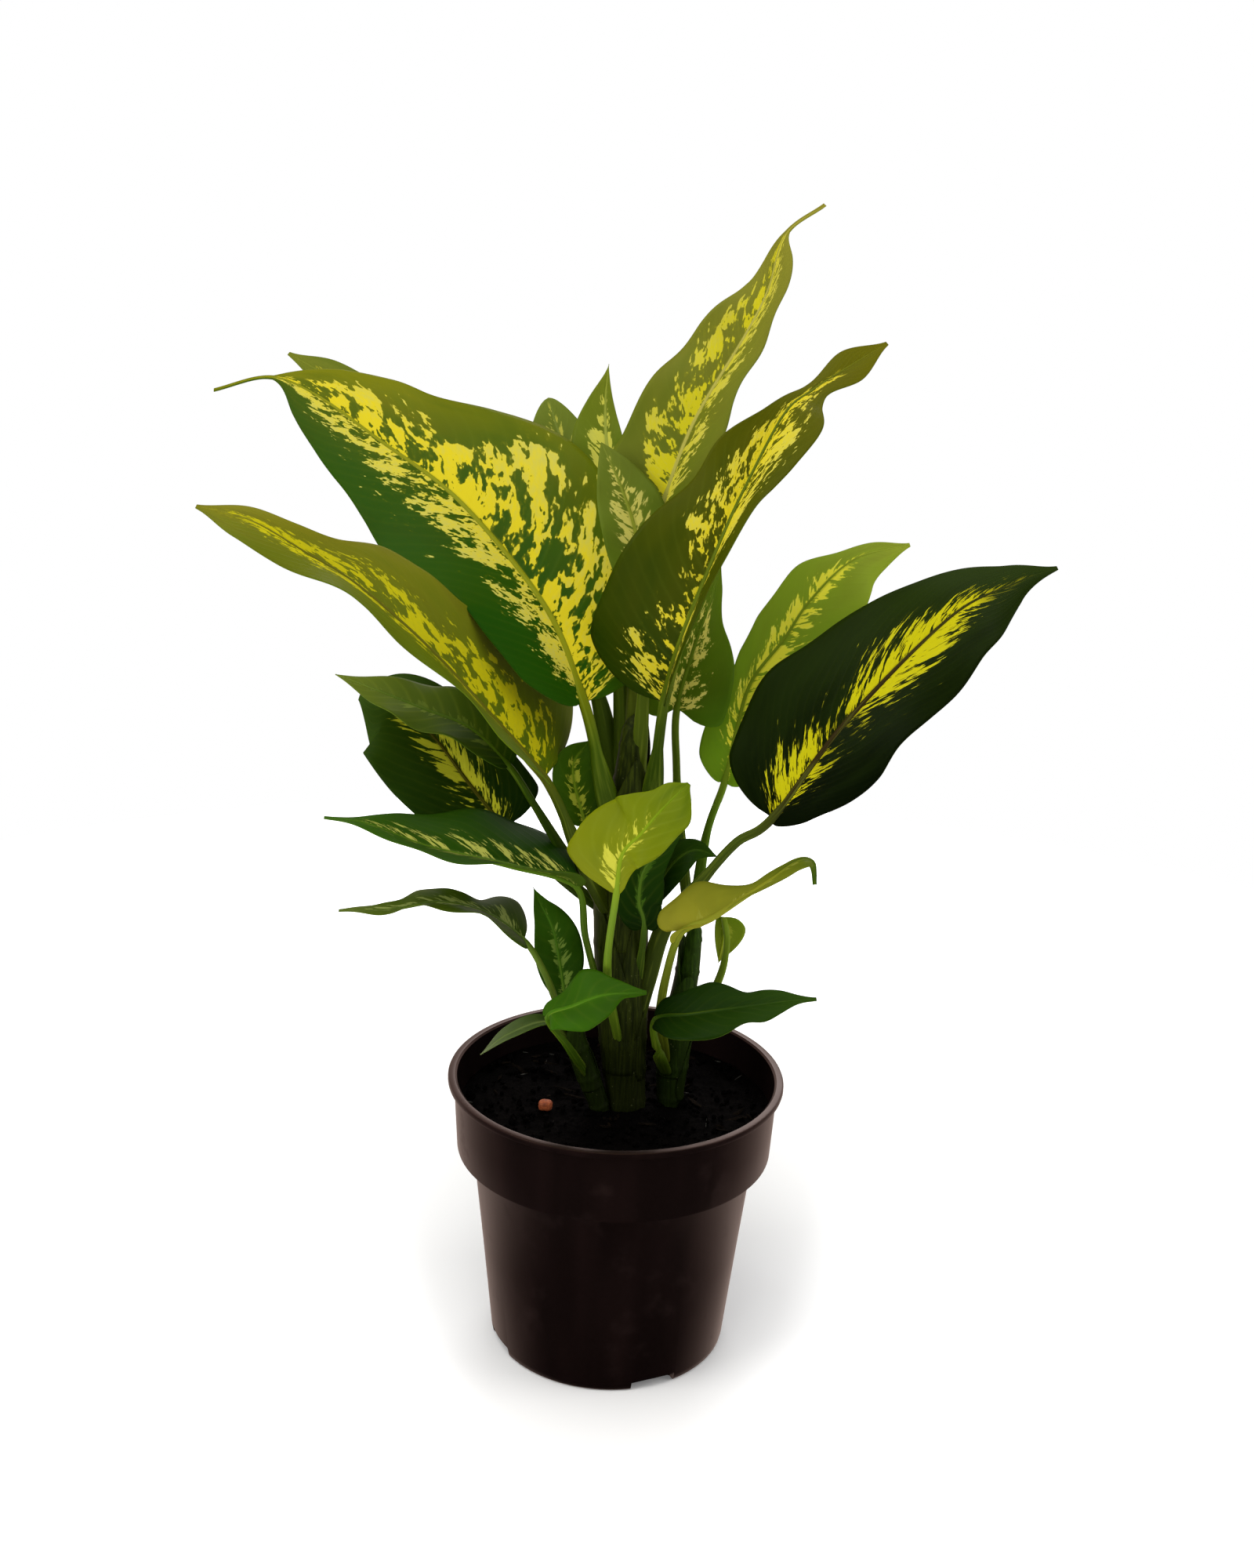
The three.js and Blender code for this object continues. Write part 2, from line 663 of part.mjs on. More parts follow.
    face: [[-0.2, -0.8, 0.4], [-0.2, -0.8, 0.4]],
    fold: [[20, 10], [20, 10]],
    curl: [-10, -10],
    wave: [0, 3, 0],
    colour: 0x1e370a,
  },
  leaf_small_dark_centre: {
    rib: [[8, -4, 190], [11, -12, 230], [8, -12, 244], [10, -8, 259], [20, -4, 270], [28, 0, 275]],
    bladeFrom: 1,
    stalk: [1.8, 1.3],
    halfWidth: [12, 12],
    widest: [0.37, 0.37],
    face: [[0, -0.9, 0.3], [0, -0.9, 0.3]],
    fold: [[20, 10], [20, 10]],
    curl: [-10, -10],
    wave: [0, 3, 0],
    colour: 0x19320c,
  },
  leaf_back_left: {
    rib: [
      [-4, 8, 270], [-14, 26, 330], [-36, 50, 372], [-72, 80, 408], [-119, 108, 444],
      [-158, 124, 472], [-184, 130, 486],
    ],
    bladeFrom: 2,
    stalk: [3, 2],
    widths: [
      [18, 28, 34, 36, 36, 34, 30, 24, 16, 8, 1],
      [20, 32, 38, 38, 36, 32, 26, 19, 14, 10, 1],
    ],
    face: [[0.3, -0.8, 0.6], [0.1, -0.8, 0.6]],
    fold: [[20, 10], [20, 10]],
    wave: [1, 3, 0],
    lobe: 4,
    colour: 0x5f6e19,
  },
  leaf_back_rounded: {
    rib: [[-1, 10, 275], [-5, 28, 340], [-14, 48, 385], [-27, 70, 425], [-40, 88, 453], [-47, 96, 472]],
    bladeFrom: 2,
    stalk: [2.6, 2],
    halfWidth: [24, 20],
    widest: [0.46, 0.46],
    blunt: [0.55, 0.6],
    face: [[0.2, -0.9, 0.3], [0.1, -0.8, 0.3]],
    fold: [[20, 10], [20, 10]],
    lobe: 4,
    colour: 0x647332,
  },
  leaf_back_pointed: {
    rib: [[4, 10, 272], [0, 34, 360], [-8, 58, 409], [-16, 77, 449], [-18, 87, 471], [-17, 93, 490]],
    bladeFrom: 2,
    stalk: [2.6, 2],
    halfWidth: [20, 9],
    blunt: [0.6, 1.3],
    face: [[0.2, -0.9, 0.3], [0.1, -0.8, 0.3]],
    fold: [[20, 10], [20, 10]],
    lobe: 4,
    colour: 0x5a6e28,
  },
  leaf_back_centre: {
    rib: [[4, 2, 270], [6, -2, 350], [4, -2, 390], [0, 2, 420], [-8, 8, 442], [-18, 16, 461]],
    bladeFrom: 2,
    stalk: [2.4, 1.8],
    halfWidth: [16, 17],
    widest: [0.44, 0.44],
    blunt: [0.55, 0.9],
    face: [[0.1, -0.9, 0.3], [0.1, -0.8, 0.3]],
    fold: [[20, 10], [20, 10]],
    colour: 0x556428,
  },
  leaf_base_left_narrow: {
    rib: [[-19, -9, 163], [-34, -16, 180], [-53, -22, 176], [-67, -26, 166]],
    bladeFrom: 1,
    stalk: [1.4, 1],
    halfWidth: [5, 5],
    widest: [0.31, 0.31],
    blunt: [0.6, 1.2],
    face: [[0, -0.3, 0.8], [0, -0.6, 0.6]],
    fold: [[30, 30], [30, 30]],
    curl: [0, 0],
    wave: [0, 3, 0],
    lobe: 1,
    colour: 0x6e7346,
  },
};

// Each leaf stands clear of the stems and of the leaves before it, by the same small clearance.
function leaves(grownStems) {
  const grown = [...grownStems];
  for (const [name, leaf] of Object.entries(LEAVES)) {
    let solid = leafSolid(leaf, 0);
    for (const other of grown) solid = solid.subtract(other);
    addNode(name, largestPiece(solid), leaf.colour, 0.45);
    grown.push(leafSolid(leaf, LEAF_GROWTH));
  }
}

pot();
const grownStems = stems();
soil(grownStems);
pellet();
leaves(grownStems);

export default plant;
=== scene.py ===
"""A potted dieffenbachia: leaves, canes, soil and nursery pot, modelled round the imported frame."""
import math
import random
import bpy
from mathutils import Matrix, Vector, noise


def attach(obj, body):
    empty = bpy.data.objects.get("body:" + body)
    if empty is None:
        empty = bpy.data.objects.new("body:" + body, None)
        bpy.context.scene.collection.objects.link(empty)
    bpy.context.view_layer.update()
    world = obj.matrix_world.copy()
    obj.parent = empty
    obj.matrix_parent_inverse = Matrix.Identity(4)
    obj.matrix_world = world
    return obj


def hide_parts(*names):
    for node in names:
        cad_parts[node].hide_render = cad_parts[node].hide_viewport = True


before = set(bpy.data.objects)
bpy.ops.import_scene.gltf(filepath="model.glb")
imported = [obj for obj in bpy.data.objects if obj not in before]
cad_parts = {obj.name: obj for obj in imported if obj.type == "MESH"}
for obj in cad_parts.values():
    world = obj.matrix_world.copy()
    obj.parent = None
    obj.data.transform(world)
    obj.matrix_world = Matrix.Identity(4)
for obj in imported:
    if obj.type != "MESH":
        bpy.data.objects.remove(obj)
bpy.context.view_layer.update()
MM = 0.001  # the plant's own sizes below are in millimetres, and Blender's are in metres
SURFACE_MAP = "surface"  # the UV map of leaves and tubes: x across or around, y along, from 0 to 1
SOIL_LEVEL = 129  # above the ground that the pot stands on


# ---------------------------------------------------------------- finishes: sums on sockets


class Value:
    """An output socket. Arithmetic on it adds the Math nodes that work the result out."""

    def __init__(self, nodes, socket):
        self.nodes = nodes
        self.socket = socket

    def out(self, name):
        """Another output of the same node."""
        return Value(self.nodes, self.socket.node.outputs[name])

    def math(self, operation, *others, first=None):
        values = dict(enumerate([self if first is None else first, *others]))
        return self.nodes.node("ShaderNodeMath", {"operation": operation}, values)

    def __add__(self, other):
        return self.math("ADD", other)

    __radd__ = __add__

    def __sub__(self, other):
        return self.math("SUBTRACT", other)

    def __rsub__(self, other):
        return self.math("SUBTRACT", self, first=other)

    def __mul__(self, other):
        return self.math("MULTIPLY", other)

    __rmul__ = __mul__

    def __truediv__(self, other):
        return self.math("DIVIDE", other)

    def __pow__(self, other):
        return self.math("POWER", other)

    def clamped(self):
        return self.math("MAXIMUM", 0.0).math("MINIMUM", 1.0)


def srgb(red, green, blue):
    """A screen's colour, 0 to 255, in the linear form that sockets take, by the sRGB curve."""
    shown = [part / 255 for part in (red, green, blue)]
    linear = [part / 12.92 if part < 0.04 else ((part + 0.055) / 1.055) ** 2.4 for part in shown]
    return (*linear, 1)


class Nodes:
    """A node tree in the making, of a material or of the world."""

    def __init__(self, tree):
        self.tree = tree

    def feed(self, socket, value):
        if isinstance(value, Value):
            self.tree.links.new(value.socket, socket)
        else:
            socket.default_value = value

    def node(self, kind, settings=None, inputs=None, output=0):
        """Adds a node. Its settings, or a ramp's stops, are set first and then its inputs."""
        made = self.tree.nodes.new(kind)
        for key, value in (settings or {}).items():
            if key == "stops":
                set_stops(made.color_ramp.elements, value)
            else:
                setattr(made, key, value)
        for key, value in (inputs or {}).items():
            self.feed(made.inputs[key], value)
        return Value(self, made.outputs[output])

    def mixed(self, share, low, high):
        """The colour low where share is 0, and high where it is 1."""
        settings = {"data_type": "RGBA", "clamp_factor": True}
        return self.node("ShaderNodeMix", settings, {0: share, 6: low, 7: high}, output=2)

    def vector(self, x, y, z):
        return self.node("ShaderNodeCombineXYZ", inputs={0: x, 1: y, 2: z})

    def noise(self, place, scale, detail=2.0, roughness=0.5, distortion=0.0):
        inputs = {"Vector": place, "Scale": scale, "Detail": detail, "Roughness": roughness}
        inputs["Distortion"] = distortion
        return self.node("ShaderNodeTexNoise", inputs=inputs)


class Finish(Nodes):
    """A material in the making, with its one Principled shader."""

    def __init__(self, name):
        self.material = bpy.data.materials.new(name)
        self.material.use_nodes = True
        super().__init__(self.material.node_tree)
        self.shader = self.tree.nodes["Principled BSDF"]

    def object_place(self):
        return self.node("ShaderNodeTexCoord", output="Object")

    def drawn_out(self, *scales):
        """The object's coordinates, each times a scale of its own, which makes a noise streaky."""
        inputs = {"Vector": self.object_place(), "Scale": scales}
        return self.node("ShaderNodeMapping", inputs=inputs)

    def surface_place(self):
        """The piece's own UV map: X, with Y as its other output."""
        mapped = self.node("ShaderNodeUVMap", {"uv_map": SURFACE_MAP})
        return self.node("ShaderNodeSeparateXYZ", inputs={0: mapped})

    def finished(self, colour, roughness, height=None, relief=0.0004, strength=0.3, **constants):
        """Sets the shader: colour, roughness and a relief from nodes, and the rest as constants."""
        self.feed(self.shader.inputs["Base Color"], colour)
        self.feed(self.shader.inputs["Roughness"], roughness)
        if height is not None:
            inputs = {"Height": height, "Distance": relief, "Strength": strength}
            self.feed(self.shader.inputs["Normal"], self.node("ShaderNodeBump", inputs=inputs))
        for name, value in constants.items():
            self.shader.inputs[name.replace("_", " ")].default_value = value
        return self.material


def set_stops(elements, stops):
    """A ramp's stops, as (place, colour), in the place of the two that it starts with."""
    while len(elements) > 1:
        elements.remove(elements[-1])
    elements[0].position, elements[0].color = stops[0]
    for place, colour in stops[1:]:
        elements.new(place).color = colour


# ---------------------------------------------------------------- modelling helpers

MERGED_WITHIN = 1e-6  # in metres


def deselect():
    if bpy.context.object and bpy.context.object.mode != "OBJECT":
        bpy.ops.object.mode_set(mode="OBJECT")
    bpy.ops.object.select_all(action="DESELECT")


def choose(piece, *others):
    """Only these are selected, and the first is the active one."""
    deselect()
    for each in (piece, *others):
        each.select_set(True)
    bpy.context.view_layer.objects.active = piece


def modified(piece, kind, **settings):
    choose(piece)
    modifier = piece.modifiers.new(kind.title(), kind)
    for key, value in settings.items():
        setattr(modifier, key, value)
    bpy.ops.object.modifier_apply(modifier=modifier.name)


def sheet_of(name, columns, rows, place):
    """A grid laid by place(across, along) in mm, across from -1 to 1 and along from 0 to 1."""
    deselect()
    bpy.ops.mesh.primitive_grid_add(x_subdivisions=columns, y_subdivisions=rows, size=2)
    piece = bpy.context.object
    piece.name = piece.data.name = name
    piece.data.uv_layers[0].name = SURFACE_MAP
    for vertex in piece.data.vertices:
        vertex.co = Vector(place(vertex.co.x, (vertex.co.y + 1) / 2)) * MM
    return piece


def tube_of(name, sides, rings, place):
    """A closed tube laid by place(angle, along). Its first and last ring are each a point."""
    piece = sheet_of(name, sides, rings, lambda across, along: place(-math.pi * across, along))
    bpy.ops.object.mode_set(mode="EDIT")
    bpy.ops.mesh.select_all(action="SELECT")
    bpy.ops.mesh.remove_doubles(threshold=MERGED_WITHIN)
    bpy.ops.object.mode_set(mode="OBJECT")
    return piece


def join(piece, *others):
    if others:
        choose(piece, *others)
        bpy.ops.object.join()
    return piece


def smooth(piece, angle=None):
    choose(piece)
    if angle is None:
        bpy.ops.object.shade_smooth()
    else:
        bpy.ops.object.shade_smooth_by_angle(angle=math.radians(angle))


def keep(piece, node, slot, *finishes):
    """Hands a finished piece over: its finishes, the node it stands for and its body. The slot is
    not used.
    """
    for finish in finishes:
        piece.data.materials.append(finish)
    if node:
        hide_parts(node)
    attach(piece, "root")


def read_smoothly(padded, share):
    """A smooth line through a list, read at a share of its steps. Its ends only give it a slope."""
    count = len(padded) - 3
    number = min(int(share * count), count - 1)
    t = share * count - number
    before, start, end, after = padded[number : number + 4]
    leaving, arriving = (end - before) / 2, (after - start) / 2
    return (
        (2 * t**3 - 3 * t**2 + 1) * start
        + (t**3 - 2 * t**2 + t) * leaving
        + (3 * t**2 - 2 * t**3) * end
        + (t**3 - t**2) * arriving
    )


class Line:
    """A smooth line through a list of points, measured along its length from 0 to 1."""

    STEPS = 400
    NEARBY = 1e-4  # how far before and after a spot its heading is taken

    def __init__(self, corners):
        self.corners = [Vector(corner) for corner in corners]
        first, second = self.corners[:2]
        before_last, last = self.corners[-2:]
        self.padded = [2 * first - second, *self.corners, 2 * last - before_last]
        spots = [self.at(step / self.STEPS) for step in range(self.STEPS + 1)]
        self.lengths = [0.0]
        for spot, following in zip(spots, spots[1:]):
            self.lengths.append(self.lengths[-1] + (following - spot).length)
        self.length = self.lengths[-1]

    def at(self, spot):
        """The point where spot runs evenly over the corners, however far apart they are."""
        return read_smoothly(self.padded, spot)

    def spot(self, share):
        """Where along the corners a share of the length is reached."""
        target = min(max(share, 0), 1) * self.length
        low, high = 0, self.STEPS
        while high - low > 1:
            middle = (low + high) // 2
            low, high = (middle, high) if self.lengths[middle] <= target else (low, middle)
        rest = (target - self.lengths[low]) / (self.lengths[high] - self.lengths[low])
        return (low + rest) / self.STEPS

    def share(self, number):
        """The share of the length at which a corner lies."""
        return self.lengths[round(self.STEPS * number / (len(self.corners) - 1))] / self.length

    def point(self, share):
        return self.at(self.spot(share))

    def heading(self, share):
        spot = min(max(self.spot(share), self.NEARBY), 1 - self.NEARBY)
        return (self.at(spot + self.NEARBY) - self.at(spot - self.NEARBY)).normalized()


def between(values, share):
    """A list of numbers or vectors read at a share from 0 to 1."""
    spot = min(max(share, 0), 1) * (len(values) - 1)
    low = min(int(spot), len(values) - 2)
    return values[low] * (1 - (spot - low)) + values[low + 1] * (spot - low)


# ---------------------------------------------------------------- leaves: their shapes

# A leaf's shape, as its solid in the frame has it, in millimetres and degrees:
#   rib         the line of the stalk and the midrib, from the stem to the leaf's tip
#   blade_from  the number of the rib point where the blade begins
#   stalk       the stalk's radius at the stem and where the blade begins
#   half_width  the blade's greatest width left and right of the midrib, seen from the stalk
#   widest      how far along the blade, left and right, it is that wide, from 0 to 1
#   blunt       how round the outline is at its base and its tip: lower is rounder
#   widths      each half's width at even steps from the base to the tip, in place of those three
#   face        the directions that the upper side looks in, from the base to the tip
#   fold        how far each half is folded up from flat: left and right, base and tip
#   curl        how much further each half bends on its way to the margin
#   wave        the margin's waves: their height, how many there are, and where they start
#   lobe        how far the base of each half reaches back past the stalk
#   tail        the share of the blade's length that is a thin drip tip
LEAF_DEFAULTS = dict(
    stalk=[2.2, 1.4],
    widest=[0.42, 0.42],
    blunt=[0.6, 1.1],
    fold=[[20, 10], [20, 10]],
    curl=[-10, -20],
    wave=[1, 3, 3],
    lobe=3,
    tail=0,
)
LEAVES = {
    "leaf_upper_left_broad": dict(
        rib=[[0, -2, 262], [-12, -8, 305], [-22, -4, 341], [-42, 14, 382], [-86, 44, 426],
             [-129, 66, 452], [-162, 80, 471], [-186, 86, 478], [-215, 92, 470]],
        blade_from=2,
        stalk=[3.2, 2.4],
        widths=[[20, 32, 38, 40, 45, 49, 43, 34, 26, 17, 1],
                [30, 48, 59, 62, 63, 61, 51, 37, 31, 20, 1]],
        face=[[0.3, -0.8, 0.6], [0.1, -0.8, 0.6], [0.1, -0.8, 0.6]],
        fold=[[25, 5], [20, 0]],
        wave=[3.5, 3, 0],
        lobe=6,
        tail=0.12,
    ),
    "leaf_left_long": dict(
        rib=[[-7, -6, 235], [-23, -14, 272], [-39, -18, 307], [-66, -26, 341], [-93, -38, 374],
             [-122, -50, 403], [-143, -58, 418], [-166, -62, 432], [-190, -60, 437]],
        blade_from=2,
        stalk=[3, 2],
        widths=[[20, 26, 26, 20, 18, 16, 14, 15, 17, 14, 1],
                [56, 62, 57, 46, 34, 33, 29, 15, 10, 7, 1]],
        face=[[0.2, -0.5, 0.9], [0.1, -0.6, 0.7], [0.1, -0.7, 0.6]],
        fold=[[45, 20], [5, 5]],
        curl=[0, -20],
        wave=[2.5, 3, 0],
        lobe=8,
    ),
    "leaf_top": dict(
        rib=[[2, 6, 285], [3, 6, 361], [7, 8, 413], [12, 10, 434], [25, 22, 471],
             [47, 34, 510], [57, 40, 531], [64, 46, 556], [82, 52, 570]],
        blade_from=3,
        stalk=[2.8, 2],
        widths=[[30, 33, 30, 28, 27, 24, 21, 17, 11, 5, 1],
                [18, 28, 32, 31, 26, 21, 19, 16, 16, 12, 1]],
        face=[[-0.5, -0.8, 0.3], [-0.5, -0.8, 0.3]],
        fold=[[25, 20], [45, 35]],
        wave=[2.5, 3, 0],
        lobe=4,
        tail=0.13,
    ),
    "leaf_centre_tall": dict(
        rib=[[9, -2, 262], [13, -8, 307], [16, -14, 345], [22, -26, 377], [38, -30, 425],
             [49, -24, 451], [64, -12, 480], [76, -4, 490], [92, 4, 500], [111, 14, 511]],
        blade_from=2,
        stalk=[3, 2.2],
        widths=[[36, 44, 43, 40, 34, 24, 20, 8, 4, 8, 1],
                [7, 8, 7, 7, 12, 15, 22, 24, 8, 9, 1]],
        face=[[-0.3, -0.9, 0.3], [-0.2, -0.9, 0.3], [-0.2, -0.8, 0.6]],
        fold=[[5, 15], [68, 52, 0]],
        curl=[-10, -10],
        wave=[3, 3, 0],
        lobe=6,
    ),
    "leaf_right_dark": dict(
        rib=[[9, -4, 172], [14, -5, 200], [21, -8, 230], [38, -14, 257], [53, -20, 279],
             [69, -26, 294], [99, -36, 345], [141, -40, 396], [168, -38, 412], [188, -36, 420]],
        blade_from=5,
        stalk=[2.6, 2],
        widths=[[28, 36, 41, 43, 39, 36, 30, 23, 17, 9, 1],
                [6, 15, 25, 29, 27, 28, 28, 25, 21, 7, 1]],
        face=[[-0.2, -0.8, 0.5], [-0.2, -0.7, 0.6]],
        fold=[[12, 5], [12, 5]],
        wave=[2.5, 3, 0],
        lobe=8,
    ),
    "leaf_right_light": dict(
        rib=[[35, 12, 215], [40, 16, 268], [48, 20, 296], [53, 24, 323], [59, 28, 346],
             [74, 32, 367], [86, 36, 386], [106, 40, 406], [133, 42, 414]],
        blade_from=2,
        stalk=[2, 1.6],
        widths=[[10, 16, 15, 9, 14, 18, 16, 16, 8, 5, 1],
                [14, 24, 28, 30, 30, 29, 28, 27, 21, 11, 1]],
        face=[[-0.3, -0.8, 0.4], [-0.2, -0.7, 0.6]],
        wave=[2, 3, 0],
        lobe=4,
    ),
    "leaf_behind_centre": dict(
        rib=[[35, 13, 219], [27, 18, 271], [24, 22, 304], [23, 26, 331], [30, 32, 360],
             [38, 38, 386], [41, 44, 406]],
        blade_from=3,
        stalk=[2, 1.6],
        widths=[[14, 19, 20, 19, 17, 13, 9, 5, 3, 2, 1],
                [22, 25, 26, 25, 22, 17, 10, 6, 4, 2, 1]],
        face=[[-0.3, -0.8, 0.4], [-0.2, -0.7, 0.6]],
        fold=[[20, 10], [10, 10]],
        lobe=12,
    ),
    "leaf_mid_left_upper": dict(
        rib=[[-10, -2, 241], [-28, -8, 265], [-44, -8, 290], [-57, -6, 309], [-76, 0, 325],
             [-99, 6, 332], [-123, 12, 339], [-143, 16, 345]],
        blade_from=3,
        half_width=[16, 18],
        face=[[0.2, -0.5, 0.9], [0.1, -0.5, 0.9]],
        wave=[1.5, 3, 0],
    ),
    "leaf_mid_left_dark": dict(
        rib=[[-10, 6, 232], [-37, 8, 253], [-59, 10, 272], [-77, 14, 292], [-94, 18, 313],
             [-113, 24, 330], [-133, 28, 332]],
        blade_from=2,
        widths=[[18, 24, 29, 31, 33, 34, 34, 33, 31, 25, 3],
                [23, 26, 27, 27, 26, 25, 23, 20, 16, 10, 1]],
        face=[[0.2, -0.9, 0.6], [0.1, -0.9, 0.6]],
        fold=[[10, 10], [20, 10]],
        wave=[1.5, 3, 0],
        lobe=6,
    ),
    "leaf_low_left": dict(
        rib=[[-7, -4, 183], [-17, -16, 225], [-23, -24, 256], [-54, -32, 268], [-92, -38, 278],
             [-119, -44, 290], [-139, -46, 293]],
        blade_from=2,
        widths=[[14, 19, 20, 20, 19, 18, 15, 11, 7, 3, 1],
                [14, 23, 30, 33, 33, 31, 25, 17, 9, 3, 1]],
        face=[[0.1, -0.3, 1], [0.1, -0.3, 1]],
        fold=[[50, 0], [20, 10]],
        curl=[0, -20],
        wave=[1.5, 3, 0],
        lobe=4,
    ),
    "leaf_low_left_wavy": dict(
        rib=[[-22, -10, 172], [-30, -16, 190], [-37, -18, 208], [-47, -20, 225], [-65, -26, 241],
             [-87, -32, 248], [-109, -36, 245], [-134, -38, 244]],
        blade_from=3,
        stalk=[2, 1.3],
        widths=[[14, 18, 16, 10, 10, 6, 3, 4, 4, 2, 1],
                [20, 22, 18, 9, 7, 11, 13, 5, 4, 4, 1]],
        face=[[0.1, -0.2, 1], [0.1, -0.2, 1]],
        wave=[2, 3, 0],
    ),
    "leaf_front_lime": dict(
        rib=[[1, -8, 165], [-6, -36, 216], [-3, -52, 263], [-1, -60, 285], [7, -65, 297],
             [14, -66, 307], [22, -62, 315], [28, -56, 319]],
        blade_from=2,
        stalk=[1.8, 1.4],
        widths=[[6, 19, 27, 25, 24, 23, 20, 15, 10, 7, 1],
                [2, 4, 6, 9, 12, 13, 13, 14, 14, 8, 1]],
        face=[[-0.3, -0.9, 0.5], [-0.2, -0.8, 0.7], [0.1, -0.7, 0.8]],
        fold=[[5, 5], [5, 5]],
        curl=[-5, -20],
        wave=[2, 3, 0],
        lobe=2,
    ),
    "leaf_small_centre_left": dict(
        rib=[[-10, 2, 238], [-15, 0, 259], [-20, -2, 280], [-25, -2, 298], [-26, 0, 310],
             [-19, 3, 320]],
        blade_from=2,
        stalk=[1.8, 1.3],
        half_width=[13, 15],
        widest=[0.44, 0.44],
        blunt=[0.6, 0.9],
        face=[[0.1, -0.9, 0.4], [0.1, -0.9, 0.4]],
        fold=[[45, 30], [30, 25]],
        lobe=2,
    ),
    "leaf_low_right_pale": dict(
        rib=[[25, 1, 152], [21, -14, 182], [22, -30, 211], [28, -44, 242], [41, -50, 252],
             [56, -54, 265], [68, -54, 274], [79, -52, 282], [87, -48, 281], [89, -46, 269]],
        blade_from=3,
        stalk=[2.2, 1.6],
        widths=[[13, 12, 17, 17, 9, 4, 3, 2, 2, 1, 1],
                [2, 2, 2, 1, 1, 2, 3, 5, 5, 2, 1]],
        face=[[-0.2, -0.6, 0.8], [-0.1, -0.5, 0.9]],
        fold=[[50, 10], [20, 10]],
        wave=[0.8, 3, 0],
        lobe=16,
    ),
    "leaf_low_right_dark": dict(
        rib=[[26, 1, 146], [20, -20, 169], [18, -32, 191], [34, -44, 200], [56, -50, 207],
             [78, -52, 212], [93, -52, 214]],
        blade_from=2,
        widths=[[6, 9, 11, 14, 15, 12, 8, 8, 6, 3, 1],
                [6, 9, 14, 16, 16, 14, 10, 10, 6, 2, 1]],
        face=[[-0.2, -0.6, 0.8], [-0.1, -0.5, 0.9]],
    ),
    "leaf_base_left_bright": dict(
        rib=[[-13, -8, 146], [-24, -26, 172], [-34, -36, 192], [-22, -44, 202], [-7, -50, 211],
             [13, -52, 214]],
        blade_from=2,
        stalk=[1.8, 1.3],
        widths=[[5, 6, 8, 11, 13, 15, 13, 9, 6, 3, 1],
                [8, 9, 10, 12, 14, 14, 13, 10, 3, 2, 1]],
        face=[[0, -0.8, 0.8], [0, -0.8, 0.8]],
        fold=[[10, 5], [10, 5]],
        wave=[1, 2, 0],
    ),
    "leaf_small_upright_left": dict(
        rib=[[-19, -8, 162], [-23, -6, 176], [-27, -5, 190], [-33, -6, 223], [-40, -5, 238],
             [-44, -3, 246]],
        blade_from=2,
        stalk=[1.7, 1.2],
        half_width=[13, 13],
        widest=[0.4, 0.4],
        blunt=[0.6, 1.2],
        face=[[0.2, -0.9, 0.2], [0.2, -0.9, 0.2]],
        fold=[[30, 20], [10, 5]],
        lobe=1,
    ),
    "leaf_small_hanging_right": dict(
        rib=[[36, 10, 165], [50, 18, 190], [54, 24, 208], [52, 30, 221], [53, 37, 210],
             [51, 39, 192]],
        blade_from=3,
        stalk=[1.8, 1.2],
        half_width=[5, 11],
        widest=[0.37, 0.37],
        face=[[0, -0.1, 1], [0, 0.9, 0.3]],
        fold=[[10, 5], [10, 5]],
        wave=[0, 3, 0],
        lobe=1,
    ),
    "leaf_small_dark_right": dict(
        rib=[[8, 2, 206], [14, 0, 240], [23, 2, 258], [34, 4, 266], [46, 4, 263]],
        blade_from=1,
        stalk=[1.8, 1.3],
        half_width=[9, 9],
        face=[[-0.2, -0.8, 0.4], [-0.2, -0.8, 0.4]],
        curl=[-10, -10],
        wave=[0, 3, 0],
    ),
    "leaf_small_dark_centre": dict(
        rib=[[8, -4, 190], [11, -12, 230], [8, -12, 244], [10, -8, 259], [20, -4, 270],
             [28, 0, 275]],
        blade_from=1,
        stalk=[1.8, 1.3],
        half_width=[12, 12],
        widest=[0.37, 0.37],
        face=[[0, -0.9, 0.3], [0, -0.9, 0.3]],
        curl=[-10, -10],
        wave=[0, 3, 0],
    ),
    "leaf_back_left": dict(
        rib=[[-4, 8, 270], [-14, 26, 330], [-36, 50, 372], [-72, 80, 408], [-119, 108, 444],
             [-158, 124, 472], [-184, 130, 486]],
        blade_from=2,
        stalk=[3, 2],
        widths=[[18, 28, 34, 36, 36, 34, 30, 24, 16, 8, 1],
                [20, 32, 38, 38, 36, 32, 26, 19, 14, 10, 1]],
        face=[[0.3, -0.8, 0.6], [0.1, -0.8, 0.6]],
        wave=[1, 3, 0],
        lobe=4,
    ),
    "leaf_back_rounded": dict(
        rib=[[-1, 10, 275], [-5, 28, 340], [-14, 48, 385], [-27, 70, 425], [-40, 88, 453],
             [-47, 96, 472]],
        blade_from=2,
        stalk=[2.6, 2],
        half_width=[24, 20],
        widest=[0.46, 0.46],
        blunt=[0.55, 0.6],
        face=[[0.2, -0.9, 0.3], [0.1, -0.8, 0.3]],
        lobe=4,
    ),
    "leaf_back_pointed": dict(
        rib=[[4, 10, 272], [0, 34, 360], [-8, 58, 409], [-16, 77, 449], [-18, 87, 471],
             [-17, 93, 490]],
        blade_from=2,
        stalk=[2.6, 2],
        half_width=[20, 9],
        blunt=[0.6, 1.3],
        face=[[0.2, -0.9, 0.3], [0.1, -0.8, 0.3]],
        lobe=4,
    ),
    "leaf_back_centre": dict(
        rib=[[4, 2, 270], [6, -2, 350], [4, -2, 390], [0, 2, 420], [-8, 8, 442], [-18, 16, 461]],
        blade_from=2,
        stalk=[2.4, 1.8],
        half_width=[16, 17],
        widest=[0.44, 0.44],
        blunt=[0.55, 0.9],
